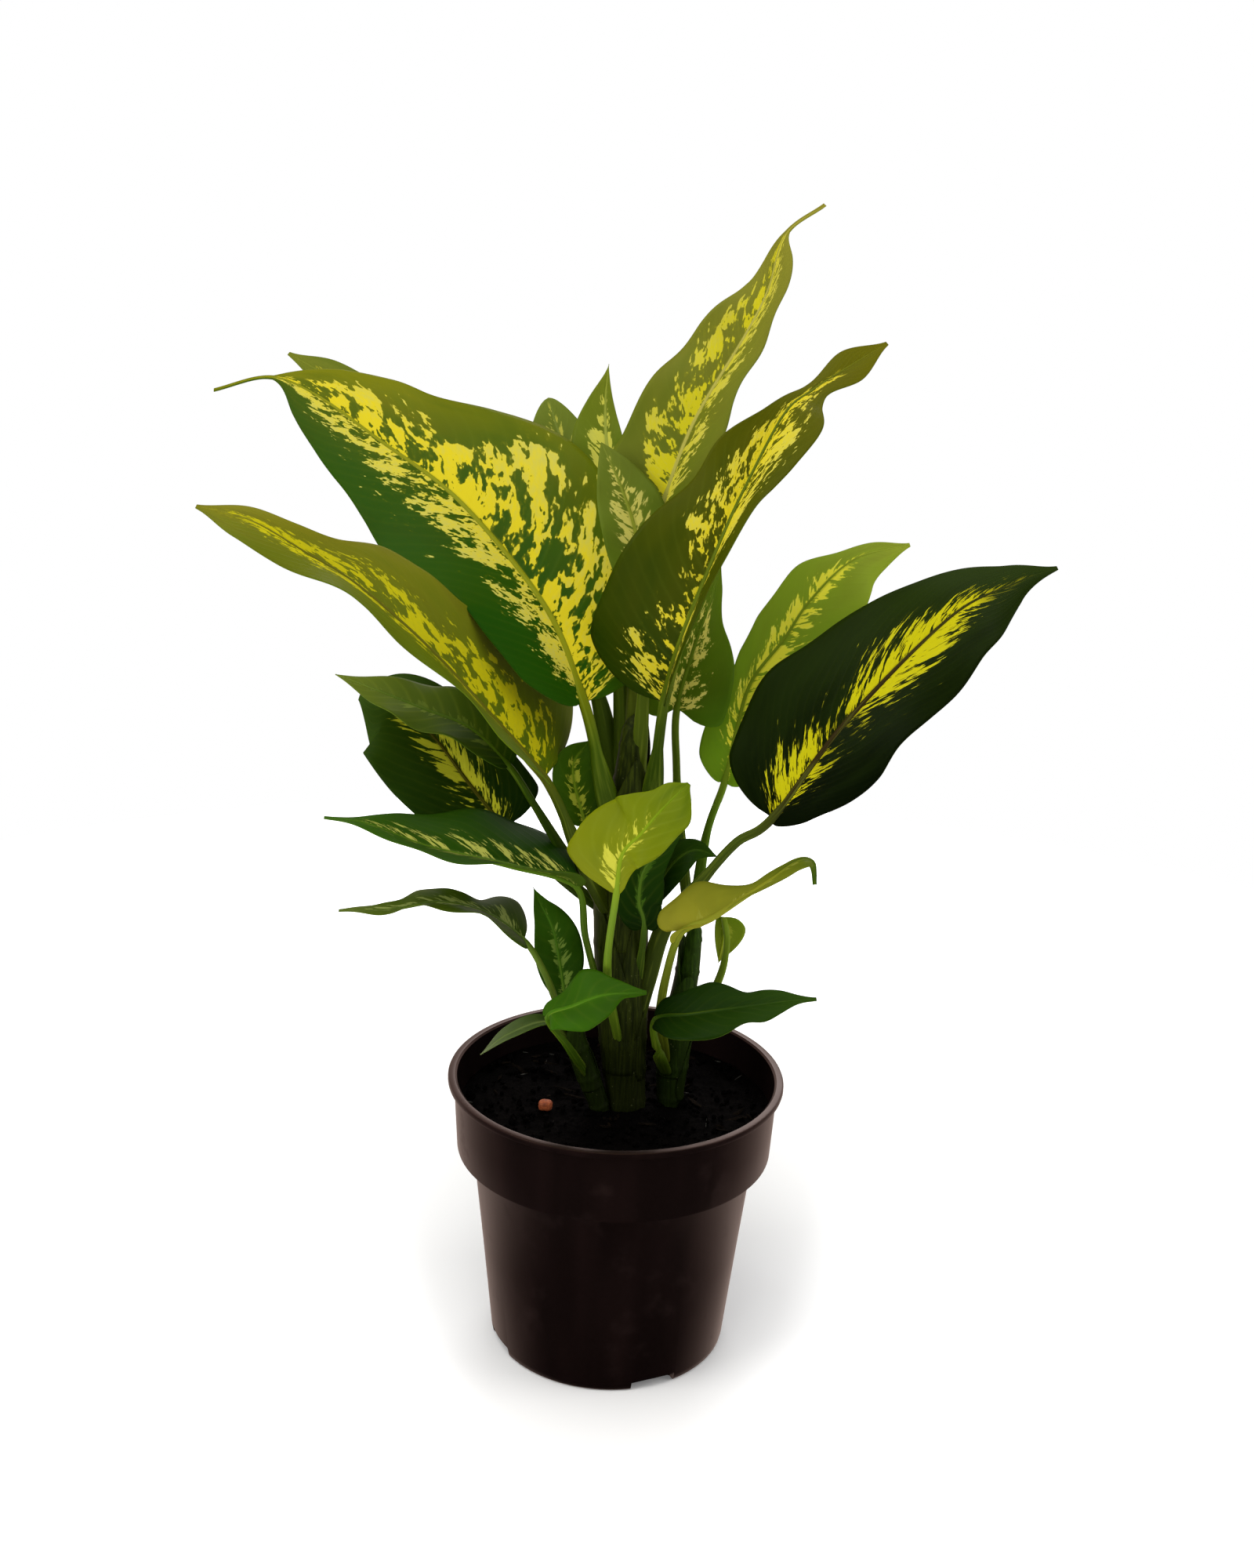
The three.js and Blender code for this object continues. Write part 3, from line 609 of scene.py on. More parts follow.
        face=[[0.1, -0.9, 0.3], [0.1, -0.8, 0.3]],
    ),
    "leaf_base_left_narrow": dict(
        rib=[[-19, -9, 163], [-34, -16, 180], [-53, -22, 176], [-67, -26, 166]],
        blade_from=1,
        stalk=[1.4, 1],
        half_width=[5, 5],
        widest=[0.31, 0.31],
        blunt=[0.6, 1.2],
        face=[[0, -0.3, 0.8], [0, -0.6, 0.6]],
        fold=[[30, 30], [30, 30]],
        curl=[0, 0],
        wave=[0, 3, 0],
        lobe=1,
    ),
}

MARGIN_SHIFT = 1.9  # how much further on the left margin's waves are than the right's, in radians
RIPPLE = 0.5  # of the uneven part of the waves, as a share of the even part's height
TAIL_HALF_WIDTH = 1.2
LEAST_HALF_WIDTH = 0.15
BASE_ROUNDING = 0.1  # the share of the blade's length over which its base rounds off
STALK_FADE = 0.05  # the share of the blade's length over which the stalk stops showing beside it
BLADE_THICKNESS = 0.45
BLADE_ROW = 1.5  # between a blade's rows of faces
BLADE_COLUMN = 3.2  # between its columns, before MORE_COLUMNS are added
MORE_COLUMNS = 8
STALK_RING = 3  # between a stalk's rings
STALK_SIDES = 12
STALK_FOOT_ROUNDING = 0.004  # the shares of its length over which a stalk and midrib round off
MIDRIB_TIP_ROUNDING = 0.02
SHEATH_SHARE = 0.7  # the share of a stalk's length, from the stem on, that is wider
SHEATH_FLARE = 1.0  # how much wider, on a stalk that is as thick as THICK_STALK
THICK_STALK = 3
SHEATH_FLATNESS = 0.2  # how much less deep the stalk is there, as a share
MIDRIB_TAPER = 0.9
MIDRIB_TIP = 0.25  # the midrib's radius at the leaf's tip
MIDRIB_SINK = 0.55  # how deep the midrib lies in the blade, as a share of its radius
STALK_GROOVE = 0.35  # how deep the groove on top is, as a share of the stalk's radius
GROOVE_FADE = 0.1  # the share of the blade's length over which the groove ends


def outline(along, widest, base, tip):
    """A plain blade's half width, as a share of its greatest."""
    warped = min(1, along ** (math.log(0.5) / math.log(widest)))
    return math.sin(math.pi * warped) ** (base + (tip - base) * along)


def base_round(along):
    """From 0 at a blade's base to 1 where the round of its base ends."""
    return math.sqrt(1 - (1 - min(1, along / BASE_ROUNDING)) ** 2)


class Leaf:
    """A leaf's shape, read at any place on its stalk and its blade."""

    def __init__(self, name):
        given = {**LEAF_DEFAULTS, **LEAVES[name]}
        self.stalk = given["stalk"]
        self.half_width = given.get("half_width")
        self.widest = given["widest"]
        self.blunt = given["blunt"]
        self.widths = given.get("widths")
        self.width = max(map(max, self.widths)) if self.widths else max(self.half_width)
        self.fold = given["fold"]
        self.curl = given["curl"]
        self.wave = given["wave"]
        self.lobe = given["lobe"]
        self.tail = given["tail"]
        self.faces = [Vector(face) for face in given["face"]]
        self.line = Line(given["rib"])
        self.blade_at = self.line.share(given["blade_from"])
        self.blade_length = self.line.length * (1 - self.blade_at)

    def axes(self, share, along):
        """The midrib's point, its heading, the blade's upper side and its right, there."""
        heading = self.line.heading(share)
        up = between(self.faces, along)
        up = (up - heading * up.dot(heading)).normalized()
        return self.line.point(share), heading, up, heading.cross(up)

    def half_width_at(self, half, along):
        if self.widths:
            widths = self.widths[half]
            return read_smoothly([widths[0], *widths, widths[-1]], along) * base_round(along)
        return self.half_width[half] * outline(along, self.widest[half], *self.blunt)

    def on_blade(self, across, along):
        """A point of the blade's upper surface, from the left margin to the right, base to tip."""
        half = 0 if across < 0 else 1
        reach = abs(across)
        body = min(1, along / (1 - self.tail))
        tail = min(1, (1 - along) / self.tail) if self.tail else 0
        shape = self.half_width_at(half, body)
        stalk = self.stalk[1] * max(0, 1 - along / STALK_FADE)
        width = max(shape, TAIL_HALF_WIDTH * tail, stalk, LEAST_HALF_WIDTH)
        fold = between(self.fold[half], along) + self.curl[half] * reach / 2
        bend = math.radians(fold)
        height, count, start = self.wave
        turn = 2 * math.pi * count * body + start + (MARGIN_SHIFT if half == 0 else 0)
        swell = math.sin(math.pi * body)
        lift = height * math.sin(turn) * reach**2 * swell
        ripple = noise.noise((5.3 * along, 1.7 * half, self.line.length / 10))
        lift += RIPPLE * height * ripple * reach**1.5 * swell
        share = self.blade_at + (1 - self.blade_at) * along
        point, heading, up, right = self.axes(share, along)
        side = (-1 if half == 0 else 1) * reach * width
        back = self.lobe * reach**1.5 * base_round(along) * (1 - along) ** 4
        point = point + right * (side * math.cos(bend)) - heading * back
        return point + up * (reach * width * math.sin(bend) + lift)

    def on_stalk(self, angle, along):
        """A point of the stalk and the midrib, from the stem to the leaf's tip."""
        up_stalk = min(1, along / self.blade_at)
        up_blade = max(0, (along - self.blade_at) / (1 - self.blade_at))
        point, _, up, right = self.axes(along, up_blade)
        sheath = math.sin(math.pi * max(0, 1 - up_stalk / SHEATH_SHARE)) ** 0.8
        thick = between(self.stalk, up_stalk) * (1 - up_blade) ** MIDRIB_TAPER + MIDRIB_TIP
        flare = SHEATH_FLARE * min(1, self.stalk[0] / THICK_STALK) ** 2
        across = thick * (1 + flare * sheath)
        deep = thick * (1 - SHEATH_FLATNESS * sheath)
        sunk = up * (-MIDRIB_SINK * thick * min(1, up_blade / STALK_FADE))
        groove = STALK_GROOVE * thick * max(0, math.sin(angle)) ** 6
        deep -= groove * (1 - min(1, up_blade / GROOVE_FADE))
        ring = right * (math.cos(angle) * across) + up * (math.sin(angle) * deep)
        return point + sunk + ring * rounded_ends(along, STALK_FOOT_ROUNDING, MIDRIB_TIP_ROUNDING)


def rounded_ends(along, foot, tip):
    """From 0 at both ends of a tube to 1 where the rounding of its foot and its tip ends."""
    return min(1, along / foot, (1 - along) / tip) ** 0.5 if 0 < along < 1 else 0


def eased(along):
    """Rows are closer together at a blade's base and its tip."""
    return (along + (1 - math.cos(math.pi * along)) / 2) / 2


def modelled_leaf(name):
    leaf = Leaf(name)
    look = {**LOOK_DEFAULTS, **LOOKS[name]}
    rows = round(leaf.blade_length / BLADE_ROW)
    columns = 2 * round(leaf.width / BLADE_COLUMN) + MORE_COLUMNS
    blade = sheet_of(name, columns, rows, lambda across, along: leaf.on_blade(across, eased(along)))
    blade.data.materials.append(blade_finish(name + "_upper_side", leaf, look, False))
    blade.data.materials.append(blade_finish(name + "_underside", leaf, look, True))
    underside = {"material_offset": 1, "material_offset_rim": 1}
    modified(blade, "SOLIDIFY", thickness=BLADE_THICKNESS * MM, offset=-1, **underside)
    rings = round(leaf.line.length / STALK_RING)
    stalk = tube_of(name + ".stalk", STALK_SIDES, rings, leaf.on_stalk)
    stalk.data.materials.append(stalk_finish(name + "_stalk", leaf, look))
    join(blade, stalk)
    smooth(blade)
    keep(blade, name, look["slot"])


# ---------------------------------------------------------------- leaves: their finishes

# A leaf's looks. Colours are as they show on a screen.
#   slot      the name of its material slot
#   ground    the green at the blade's base and its tip
#   ripening  how late along the blade the green turns into the tip's
#   turn      painted light on a leaf's upper margin: how much further the right margin is towards the
#             tip's colour than the midrib, and the left one less; a negative turn lightens the left
#             margin
#   splash    how far from the midrib the yellow reaches and how closed it is:
#             (along the blade, left, right, closed)
#   yellow    the splashes' colour near the midrib, and at their ragged outer edge
#   paler     how much paler the yellow is, left and right
#   grain     the size of the blotches, left and right, in millimetres
#   stretch   how many times longer they are along the side veins than across
#   lean      how far the side veins run towards the tip for each step out from the midrib
#   veins     how much paler the side veins are than the ground
#   rib       the midrib's colour, and the stalk's
LOOK_DEFAULTS = dict(
    yellow=[(226, 208, 34), (200, 196, 92)],
    paler=(0, 0),
    grain=(4.5, 4.5),
    stretch=3,
    lean=0.7,
    ripening=1.3,
    turn=0,
    veins=0.05,
    splash=[(0, 0, 0, 0), (1, 0, 0, 0)],
)
VARIEGATED = dict(slot="leaf_variegated")
DARK = dict(slot="leaf_dark", grain=(2.6, 2.6), stretch=5, lean=1.3)
GREEN = dict(slot="leaf_green", grain=(3, 3))
LIME = dict(slot="leaf_lime", grain=(3, 3))

LOOKS = {
    "leaf_upper_left_broad": dict(
        VARIEGATED,
        ground=[(28, 76, 0), (118, 122, 4)],
        splash=[(0, 0.1, 0.3, 0.7), (0.06, 0.2, 0.45, 0.66), (0.2, 0.34, 0.66, 0.56),
                (0.36, 0.4, 0.74, 0.5), (0.46, 0.38, 0.72, 0.48), (0.53, 0.38, 0.16, 0.3),
                (0.58, 0.38, 0.3, 0.5), (0.64, 0.38, 0.7, 0.56), (0.7, 0.34, 0.56, 0.56),
                (0.75, 0.28, 0.24, 0.4), (0.8, 0.26, 0.45, 0.5), (0.87, 0.12, 0.26, 0.6),
                (0.93, 0.06, 0.12, 0.7), (0.97, 0, 0, 0)],
        ripening=2.6,
        turn=0.4,
        paler=(0.5, 0),
        grain=(4, 6.4),
        stretch=2,
        lean=0.6,
        rib=[(130, 132, 10), (72, 96, 6)],
    ),
    "leaf_left_long": dict(
        VARIEGATED,
        ground=[(86, 106, 6), (128, 126, 24)],
        splash=[(0, 0, 0.12, 0.5), (0.08, 0.04, 0.3, 0.5), (0.3, 0.08, 0.36, 0.5),
                (0.55, 0.12, 0.34, 0.6), (0.75, 0.14, 0.3, 0.62), (0.9, 0.04, 0.12, 0.6),
                (1, 0, 0, 0)],
        yellow=[(206, 196, 16), (172, 172, 40)],
        turn=0.3,
        grain=(4, 6.4),
        stretch=1.3,
        rib=[(96, 96, 12), (70, 86, 12)],
    ),
    "leaf_top": dict(
        VARIEGATED,
        ground=[(92, 106, 22), (150, 144, 48)],
        splash=[(0, 0.2, 0.3, 0.4), (0.12, 0.5, 0.4, 0.5), (0.45, 0.6, 0.4, 0.56),
                (0.7, 0.45, 0.3, 0.6), (0.85, 0.16, 0.1, 0.6), (0.95, 0, 0, 0)],
        yellow=[(214, 204, 30), (200, 192, 84)],
        paler=(0, 0.5),
        grain=(5.4, 3.6),
        stretch=2,
        rib=[(166, 160, 70), (90, 104, 20)],
    ),
    "leaf_centre_tall": dict(
        VARIEGATED,
        ground=[(30, 56, 0), (108, 106, 6)],
        splash=[(0, 0.2, 0.3, 0.34), (0.08, 0.4, 0.46, 0.4), (0.2, 0.36, 0.36, 0.4),
                (0.29, 0.1, 0.1, 0.3), (0.38, 0.08, 0.2, 0.4), (0.44, 0.36, 0.42, 0.6),
                (0.6, 0.38, 0.54, 0.66), (0.72, 0.24, 0.36, 0.62), (0.84, 0, 0, 0.3),
                (1, 0, 0, 0)],
        paler=(0.1, 0.2),
        rib=[(84, 98, 8), (56, 78, 4)],
        grain=(4.6, 4.2),
        stretch=1.7,
    ),
    "leaf_right_dark": dict(
        DARK,
        ground=[(2, 14, 0), (38, 56, 4)],
        splash=[(0, 0.04, 0.04, 0.6), (0.06, 0.14, 0.1, 0.6), (0.16, 0.2, 0.13, 0.66),
                (0.28, 0.18, 0.08, 0.6), (0.35, 0.05, 0.02, 0.4), (0.42, 0.12, 0.1, 0.6),
                (0.5, 0.26, 0.28, 0.9), (0.62, 0.3, 0.3, 0.9), (0.7, 0.16, 0.14, 0.8),
                (0.78, 0.06, 0.04, 0.7), (0.88, 0.05, 0.03, 0.7), (0.93, 0, 0, 0)],
        yellow=[(206, 198, 10), (178, 184, 50)],
        turn=-0.25,
        lean=1.6,
        veins=0.01,
        rib=[(48, 38, 8), (70, 86, 18)],
    ),
    "leaf_right_light": dict(
        GREEN,
        ground=[(112, 154, 26), (156, 170, 50)],
        splash=[(0, 0, 0.05, 0.5), (0.15, 0.1, 0.22, 0.5), (0.35, 0.34, 0.3, 0.66),
                (0.5, 0.3, 0.24, 0.7), (0.7, 0.16, 0.12, 0.6), (0.85, 0, 0, 0)],
        yellow=[(255, 248, 70), (250, 244, 110)],
        rib=[(120, 140, 28), (78, 110, 14)],
        stretch=4,
    ),
    "leaf_behind_centre": dict(
        GREEN,
        ground=[(72, 110, 12), (108, 134, 30)],
        splash=[(0, 0.2, 0.1, 0.5), (0.12, 0.5, 0.3, 0.45), (0.45, 0.45, 0.22, 0.45),
                (0.6, 0.16, 0.1, 0.4), (0.75, 0, 0, 0)],
        yellow=[(250, 238, 116), (240, 230, 136)],
        rib=[(96, 120, 22), (82, 104, 18)],
        stretch=1.4,
    ),
    "leaf_mid_left_upper": dict(
        GREEN,
        ground=[(30, 62, 0), (112, 128, 34)],
        splash=[(0, 0, 0, 0.3), (0.3, 0.1, 0.06, 0.5), (0.7, 0.1, 0.06, 0.5), (1, 0, 0, 0.3)],
        yellow=[(120, 138, 50), (110, 130, 44)],
        rib=[(70, 96, 12), (58, 86, 6)],
        stretch=5,
        veins=0.14,
    ),
    "leaf_mid_left_dark": dict(
        DARK,
        ground=[(10, 38, 0), (56, 84, 12)],
        splash=[(0, 0.06, 0.06, 0.5), (0.12, 0.12, 0.14, 0.46), (0.3, 0.18, 0.22, 0.5),
                (0.5, 0.2, 0.26, 0.56), (0.68, 0.12, 0.16, 0.6), (0.82, 0, 0, 0)],
        yellow=[(206, 204, 46), (160, 168, 50)],
        rib=[(66, 62, 2), (60, 84, 12)],
    ),
    "leaf_low_left": dict(
        DARK,
        ground=[(22, 58, 0), (62, 106, 14)],
        splash=[(0, 0.06, 0.1, 0.3), (0.15, 0.08, 0.18, 0.3), (0.5, 0.06, 0.22, 0.32),
                (0.75, 0.04, 0.14, 0.32), (0.9, 0, 0, 0)],
        yellow=[(206, 208, 96), (176, 186, 90)],
        grain=(2.2, 2.2),
        rib=[(80, 112, 14), (70, 100, 12)],
    ),
    "leaf_low_left_wavy": dict(
        GREEN,
        ground=[(50, 74, 4), (92, 110, 26)],
        splash=[(0, 0, 0.1, 0.4), (0.3, 0.1, 0.35, 0.6), (0.7, 0.1, 0.35, 0.6), (0.95, 0, 0, 0)],
        yellow=[(150, 162, 84), (124, 140, 60)],
        rib=[(76, 100, 22), (92, 116, 32)],
        stretch=5,
    ),
    "leaf_front_lime": dict(
        LIME,
        ground=[(128, 134, 12), (100, 124, 8)],
        splash=[(0, 0.04, 0.04, 0.5), (0.12, 0.12, 0.1, 0.5), (0.3, 0.14, 0.12, 0.56),
                (0.55, 0.14, 0.08, 0.5), (0.7, 0, 0, 0)],
        yellow=[(206, 204, 66), (176, 180, 50)],
        rib=[(122, 146, 12), (104, 134, 28)],
        stretch=3.5,
        veins=0.16,
    ),
    "leaf_small_centre_left": dict(
        GREEN,
        ground=[(46, 76, 0), (66, 104, 8)],
        splash=[(0, 0.06, 0.06, 0.5), (0.2, 0.3, 0.2, 0.5), (0.65, 0.26, 0.14, 0.5),
                (0.85, 0, 0, 0)],
        yellow=[(176, 184, 56), (140, 156, 52)],
        rib=[(110, 134, 22), (84, 110, 14)],
        stretch=3,
    ),
    "leaf_low_right_pale": dict(
        LIME,
        ground=[(150, 146, 36), (44, 84, 0)],
        splash=[(0, 0, 0, 0), (0.5, 0.1, 0.1, 0.5), (1, 0, 0, 0)],
        yellow=[(176, 176, 80), (150, 160, 70)],
        rib=[(128, 130, 28), (104, 116, 24)],
        stretch=6,
    ),
    "leaf_low_right_dark": dict(
        DARK,
        ground=[(10, 34, 0), (46, 78, 4)],
        veins=0.02,
        rib=[(34, 60, 2), (74, 98, 14)],
    ),
    "leaf_base_left_bright": dict(
        GREEN,
        ground=[(54, 98, 2), (48, 86, 2)],
        rib=[(64, 108, 6), (66, 96, 10)],
    ),
    "leaf_small_upright_left": dict(
        GREEN,
        ground=[(40, 78, 2), (62, 106, 10)],
        splash=[(0, 0.08, 0.1, 0.5), (0.2, 0.12, 0.3, 0.5), (0.6, 0.1, 0.24, 0.5), (0.85, 0, 0, 0)],
        yellow=[(136, 164, 66), (100, 140, 44)],
        rib=[(74, 118, 22), (76, 106, 18)],
        stretch=4,
    ),
    "leaf_small_hanging_right": dict(
        GREEN,
        ground=[(112, 138, 12), (140, 150, 26)],
        splash=[(0, 0, 0, 0.4), (0.4, 0.24, 0.24, 0.5), (0.9, 0.1, 0.1, 0.4)],
        yellow=[(170, 178, 50), (150, 164, 44)],
        rib=[(124, 144, 22), (106, 130, 28)],
    ),
    "leaf_small_dark_right": dict(
        DARK,
        ground=[(16, 42, 0), (40, 70, 4)],
        veins=0.02,
        rib=[(46, 74, 4), (56, 80, 10)],
    ),
    "leaf_small_dark_centre": dict(
        DARK,
        ground=[(16, 40, 0), (34, 66, 4)],
        splash=[(0, 0, 0, 0.4), (0.3, 0.1, 0.1, 0.4), (0.7, 0.08, 0.08, 0.4), (0.9, 0, 0, 0)],
        yellow=[(66, 100, 20), (50, 84, 14)],
        rib=[(66, 96, 20), (60, 84, 12)],
    ),
    "leaf_back_left": dict(
        VARIEGATED,
        ground=[(52, 84, 4), (120, 128, 34)],
        splash=[(0, 0.2, 0.2, 0.4), (0.15, 0.4, 0.4, 0.4), (0.5, 0.42, 0.42, 0.4),
                (0.8, 0.16, 0.16, 0.4), (0.92, 0, 0, 0)],
        yellow=[(200, 190, 50), (176, 176, 80)],
        grain=(3.4, 3.4),
        rib=[(112, 128, 28), (80, 104, 12)],
    ),
    "leaf_back_rounded": dict(
        VARIEGATED,
        ground=[(100, 120, 30), (118, 132, 46)],
        splash=[(0, 0.3, 0.3, 0.4), (0.3, 0.5, 0.45, 0.5), (0.7, 0.3, 0.3, 0.5),
                (0.9, 0.1, 0, 0.4), (1, 0, 0, 0)],
        yellow=[(206, 202, 80), (176, 182, 96)],
        rib=[(128, 142, 60), (86, 110, 18)],
    ),
    "leaf_back_pointed": dict(
        VARIEGATED,
        ground=[(70, 98, 10), (124, 134, 34)],
        splash=[(0, 0.2, 0.2, 0.4), (0.3, 0.3, 0.3, 0.5), (0.72, 0.3, 0.2, 0.5), (0.85, 0, 0, 0)],
        yellow=[(208, 204, 80), (186, 188, 84)],
        rib=[(150, 156, 64), (90, 112, 18)],
    ),
    "leaf_back_centre": dict(
        VARIEGATED,
        ground=[(84, 108, 18), (112, 124, 40)],
        splash=[(0, 0.2, 0.2, 0.5), (0.3, 0.5, 0.45, 0.5), (0.6, 0.45, 0.36, 0.5),
                (0.8, 0.1, 0.1, 0.4), (1, 0, 0, 0)],
        yellow=[(210, 202, 96), (186, 184, 100)],
        rib=[(128, 136, 38), (86, 104, 16)],
        grain=(3.5, 3.5),
    ),
    "leaf_base_left_narrow": dict(
        GREEN,
        ground=[(58, 84, 16), (120, 132, 92)],
        rib=[(98, 116, 60), (80, 100, 28)],
    ),
}

RIB_WIDTH = 1.6  # of the midrib's colour on the blade beside it
VEIN_GAP = 7  # between side veins
VEIN = (150, 165, 50)
DARK_PATCH = (18, 34, 2)
UNDERSIDE = (116, 140, 38)
STREAK = (136, 152, 44)  # of a stalk
MOTTLE_SIZE = (30, 22)  # along and out from the midrib
BLOTCH_LAYERS = [  # (scale, detail, distortion, weight) of masses, of their lobes and of flecks
    (0.3, 1.0, 0.5, 1.1),
    (1.0, 2.0, 0.6, 1.7),
    (3.0, 2.0, 0.0, 0.9),
]
ZONE_WEIGHT = 1.5  # of the splash's own reach, against those layers
EDGE_SHARPNESS = 26  # of the yellow's edge
FRINGE_SHARPNESS = 7  # of the dim fringe round it
THROUGH_SHARE = 0.18  # of the light on a blade, what comes out on its other side


def blade_finish(name, leaf, look, below):
    """A waxy blade: green ground, faint side veins, and yellow blotches that run out along them."""
    finish = Finish(name)
    place = finish.surface_place()
    across = place * 2 - 1
    along = place.out("Y")
    reach = across.math("ABSOLUTE")
    vein = along - reach**1.2 * (look["lean"] * leaf.width / leaf.blade_length)
    vein_mm = vein * leaf.blade_length
    out_mm = across * (leaf.width * math.hypot(1, look["lean"]))
    seed = leaf.line.length

    on_right = across.math("GREATER_THAN", 0.0)
    left_grain, right_grain = look["grain"]
    per_mm = on_right * (1 / right_grain - 1 / left_grain) + 1 / left_grain
    blotch_place = finish.vector(vein_mm * per_mm, out_mm * per_mm * (1 / look["stretch"]), seed)
    stops = [(spot, (left, right, closed, 1)) for spot, left, right, closed in look["splash"]]
    ramp = finish.node("ShaderNodeValToRGB", {"stops": stops}, {0: along})
    left = finish.node("ShaderNodeSeparateColor", inputs={0: ramp})
    amount = left + (left.out("Green") - left) * on_right
    closed = left.out("Blue") * 0.5 - 0.25
    field = ((amount - reach) * ZONE_WEIGHT).math("MINIMUM", closed)
    layers = []
    for scale, detail, distortion, weight in BLOTCH_LAYERS:
        layers.append(finish.noise(blotch_place, scale, detail=detail, distortion=distortion))
        field = field + (layers[-1] - 0.5) * weight
    lobes, flecks = layers[1:]
    present = (amount * 12 - 0.3).clamped()
    splash = (field * EDGE_SHARPNESS + 0.5).clamped() * present
    fringe = (field * FRINGE_SHARPNESS + 0.9).clamped() * present

    base, tip = [srgb(*colour) for colour in look["ground"]]
    long, wide = MOTTLE_SIZE
    mottle = finish.noise(finish.vector(vein_mm / long, out_mm / wide, seed), 1.0, detail=2.0)
    # the share of the tip's colour: more towards the tip, plus painted light that lightens one
    # margin by turn, and a random mottle
    tip_share_and_painted_light = along + across * look["turn"] + (mottle - 0.5) * 0.5
    ground = finish.mixed(tip_share_and_painted_light.clamped() ** look["ripening"], base, tip)
    lines = (vein_mm * (2 * math.pi / VEIN_GAP)).math("COSINE") * 0.5 + 0.5
    lines = lines**6 * (1 - reach * 0.7)
    ground = finish.mixed(lines * look["veins"], ground, srgb(*VEIN))
    ground = finish.mixed((mottle - 0.5) * 0.8, ground, srgb(*DARK_PATCH))
    warm, pale = [srgb(*colour) for colour in look["yellow"]]
    ground = finish.mixed(fringe * 0.5, ground, blended(base, warm, 0.3))
    left_pale, right_pale = look["paler"]
    paler = on_right * (right_pale - left_pale) + left_pale
    yellow = finish.mixed((reach * 0.9 + (flecks - 0.5) * 1.6 + paler - 0.2).clamped(), warm, pale)
    colour = finish.mixed(splash, ground, yellow)
    beside_rib = (1.3 - reach * leaf.width / RIB_WIDTH).clamped() * (1 - along * 0.4)
    colour = finish.mixed(beside_rib * 0.8, colour, srgb(*look["rib"][0]))
    if below:
        colour = finish.mixed(0.25, colour, srgb(*UNDERSIDE))
    height = lines * 0.8 + lobes * 0.25
    roughness = 0.62 if below else 0.42 + flecks * 0.12 + splash * 0.05
    most = max(max(left, right) for _, left, right, _ in look["splash"])
    let_light_through(finish, blended(base, warm, most))
    return finish.finished(colour, roughness, height, strength=0.25, Specular_IOR_Level=0.06)


def blended(low, high, share):
    """The colour that lies a share of the way from low to high."""
    return tuple(start * (1 - share) + end * share for start, end in zip(low, high))


def let_light_through(finish, colour):
    """Some of the light that a blade catches comes through it, in this colour."""
    through = finish.node("ShaderNodeBsdfTranslucent", inputs={"Color": colour})
    inputs = {0: THROUGH_SHARE, 1: Value(finish, finish.shader.outputs[0]), 2: through}
    both = finish.node("ShaderNodeMixShader", inputs=inputs)
    finish.feed(finish.tree.nodes["Material Output"].inputs["Surface"], both)


def stalk_finish(name, leaf, look):
    """A juicy stalk, streaked lengthwise, that turns into the midrib's colour along the blade, with
    painted shade darkening it towards the stem.
    """
    finish = Finish(name)
    around = finish.surface_place()
    along = around.out("Y")
    rib, stalk = [srgb(*colour) for colour in look["rib"]]
    into_blade = ((along - leaf.blade_at) * 8 + 0.5).clamped()
    streak_place = finish.vector(around * 14, along * (leaf.line.length / 30), leaf.line.length)
    streaks = finish.noise(streak_place, 1.0, detail=2.0)
    colour = finish.mixed(into_blade, stalk, rib)
    # painted shade: the stalk darkens towards black near the stem, where the stalks crowd together
    # under the leaves
    foot = (1 - along * (1 / leaf.blade_at)).clamped()
    colour = finish.mixed(foot * 0.85, colour, blended(stalk, srgb(0, 0, 0), 0.65))
    colour = finish.mixed((streaks - 0.5) * 1.2, colour, srgb(*STREAK))
    colour = finish.mixed((along * 5 - 4).clamped(), colour, srgb(*look["ground"][1]))
    roughness = 0.4 + streaks * 0.15
    return finish.finished(colour, roughness, streaks, relief=0.0003, Specular_IOR_Level=0.08)


# ---------------------------------------------------------------- canes

# Each cane's middle line from the soil up, its radii spread evenly along that line, and its dark
# and light green. Its leaf sheaths are given as where they start and end along the cane, the side
# they are on, in degrees from the back round by the right, and half their spread, in radians.
STEMS = {
    "stem_main": dict(
        path=[[6, -2, 98], [6, -2, 124], [2, 0, 176], [0, 2, 226], [0, 3, 270], [1, 3, 302],
              [2, 4, 334]],
        radii=[9, 10, 12, 12, 11, 8.5, 4.5],
        sheaths=[
            (0.20, 0.52, 20, 2.4), (0.22, 0.66, -95, 2.2), (0.30, 0.74, 70, 2.2),
            (0.42, 0.86, -30, 2.1), (0.50, 0.92, 160, 2.2), (0.60, 1.0, 40, 2.0),
        ],
        green=[(30, 38, 4), (72, 84, 12)],
    ),
    "stem_left": dict(
        path=[[-5, -7, 98], [-6, -7, 124], [-12, -8, 143], [-20, -9, 164], [-26, -9, 184]],
        radii=[4, 4.5, 5, 4.5, 3.2],
        sheaths=[(0.38, 0.8, 0, 2.2), (0.5, 0.98, 150, 2.2)],
        green=[(34, 50, 4), (58, 84, 10)],
    ),
    "stem_right": dict(
        path=[[28, 4, 98], [28, 4, 124], [28.5, 6, 150], [31, 8, 175], [35, 10, 200],
              [37, 12, 225]],
        radii=[5.5, 6, 7.5, 6.5, 5, 3.5],
        sheaths=[(0.26, 0.66, 30, 2.3), (0.36, 0.8, 180, 2.3), (0.5, 0.96, -60, 2.2)],
        green=[(30, 50, 4), (60, 90, 10)],
    ),
}
CANE_SIDES = 32
CANE_RINGS = 110
SCAR_GAP = 17  # between a cane's ring scars
SCAR_LENGTH = 0.06  # as a share of the gap
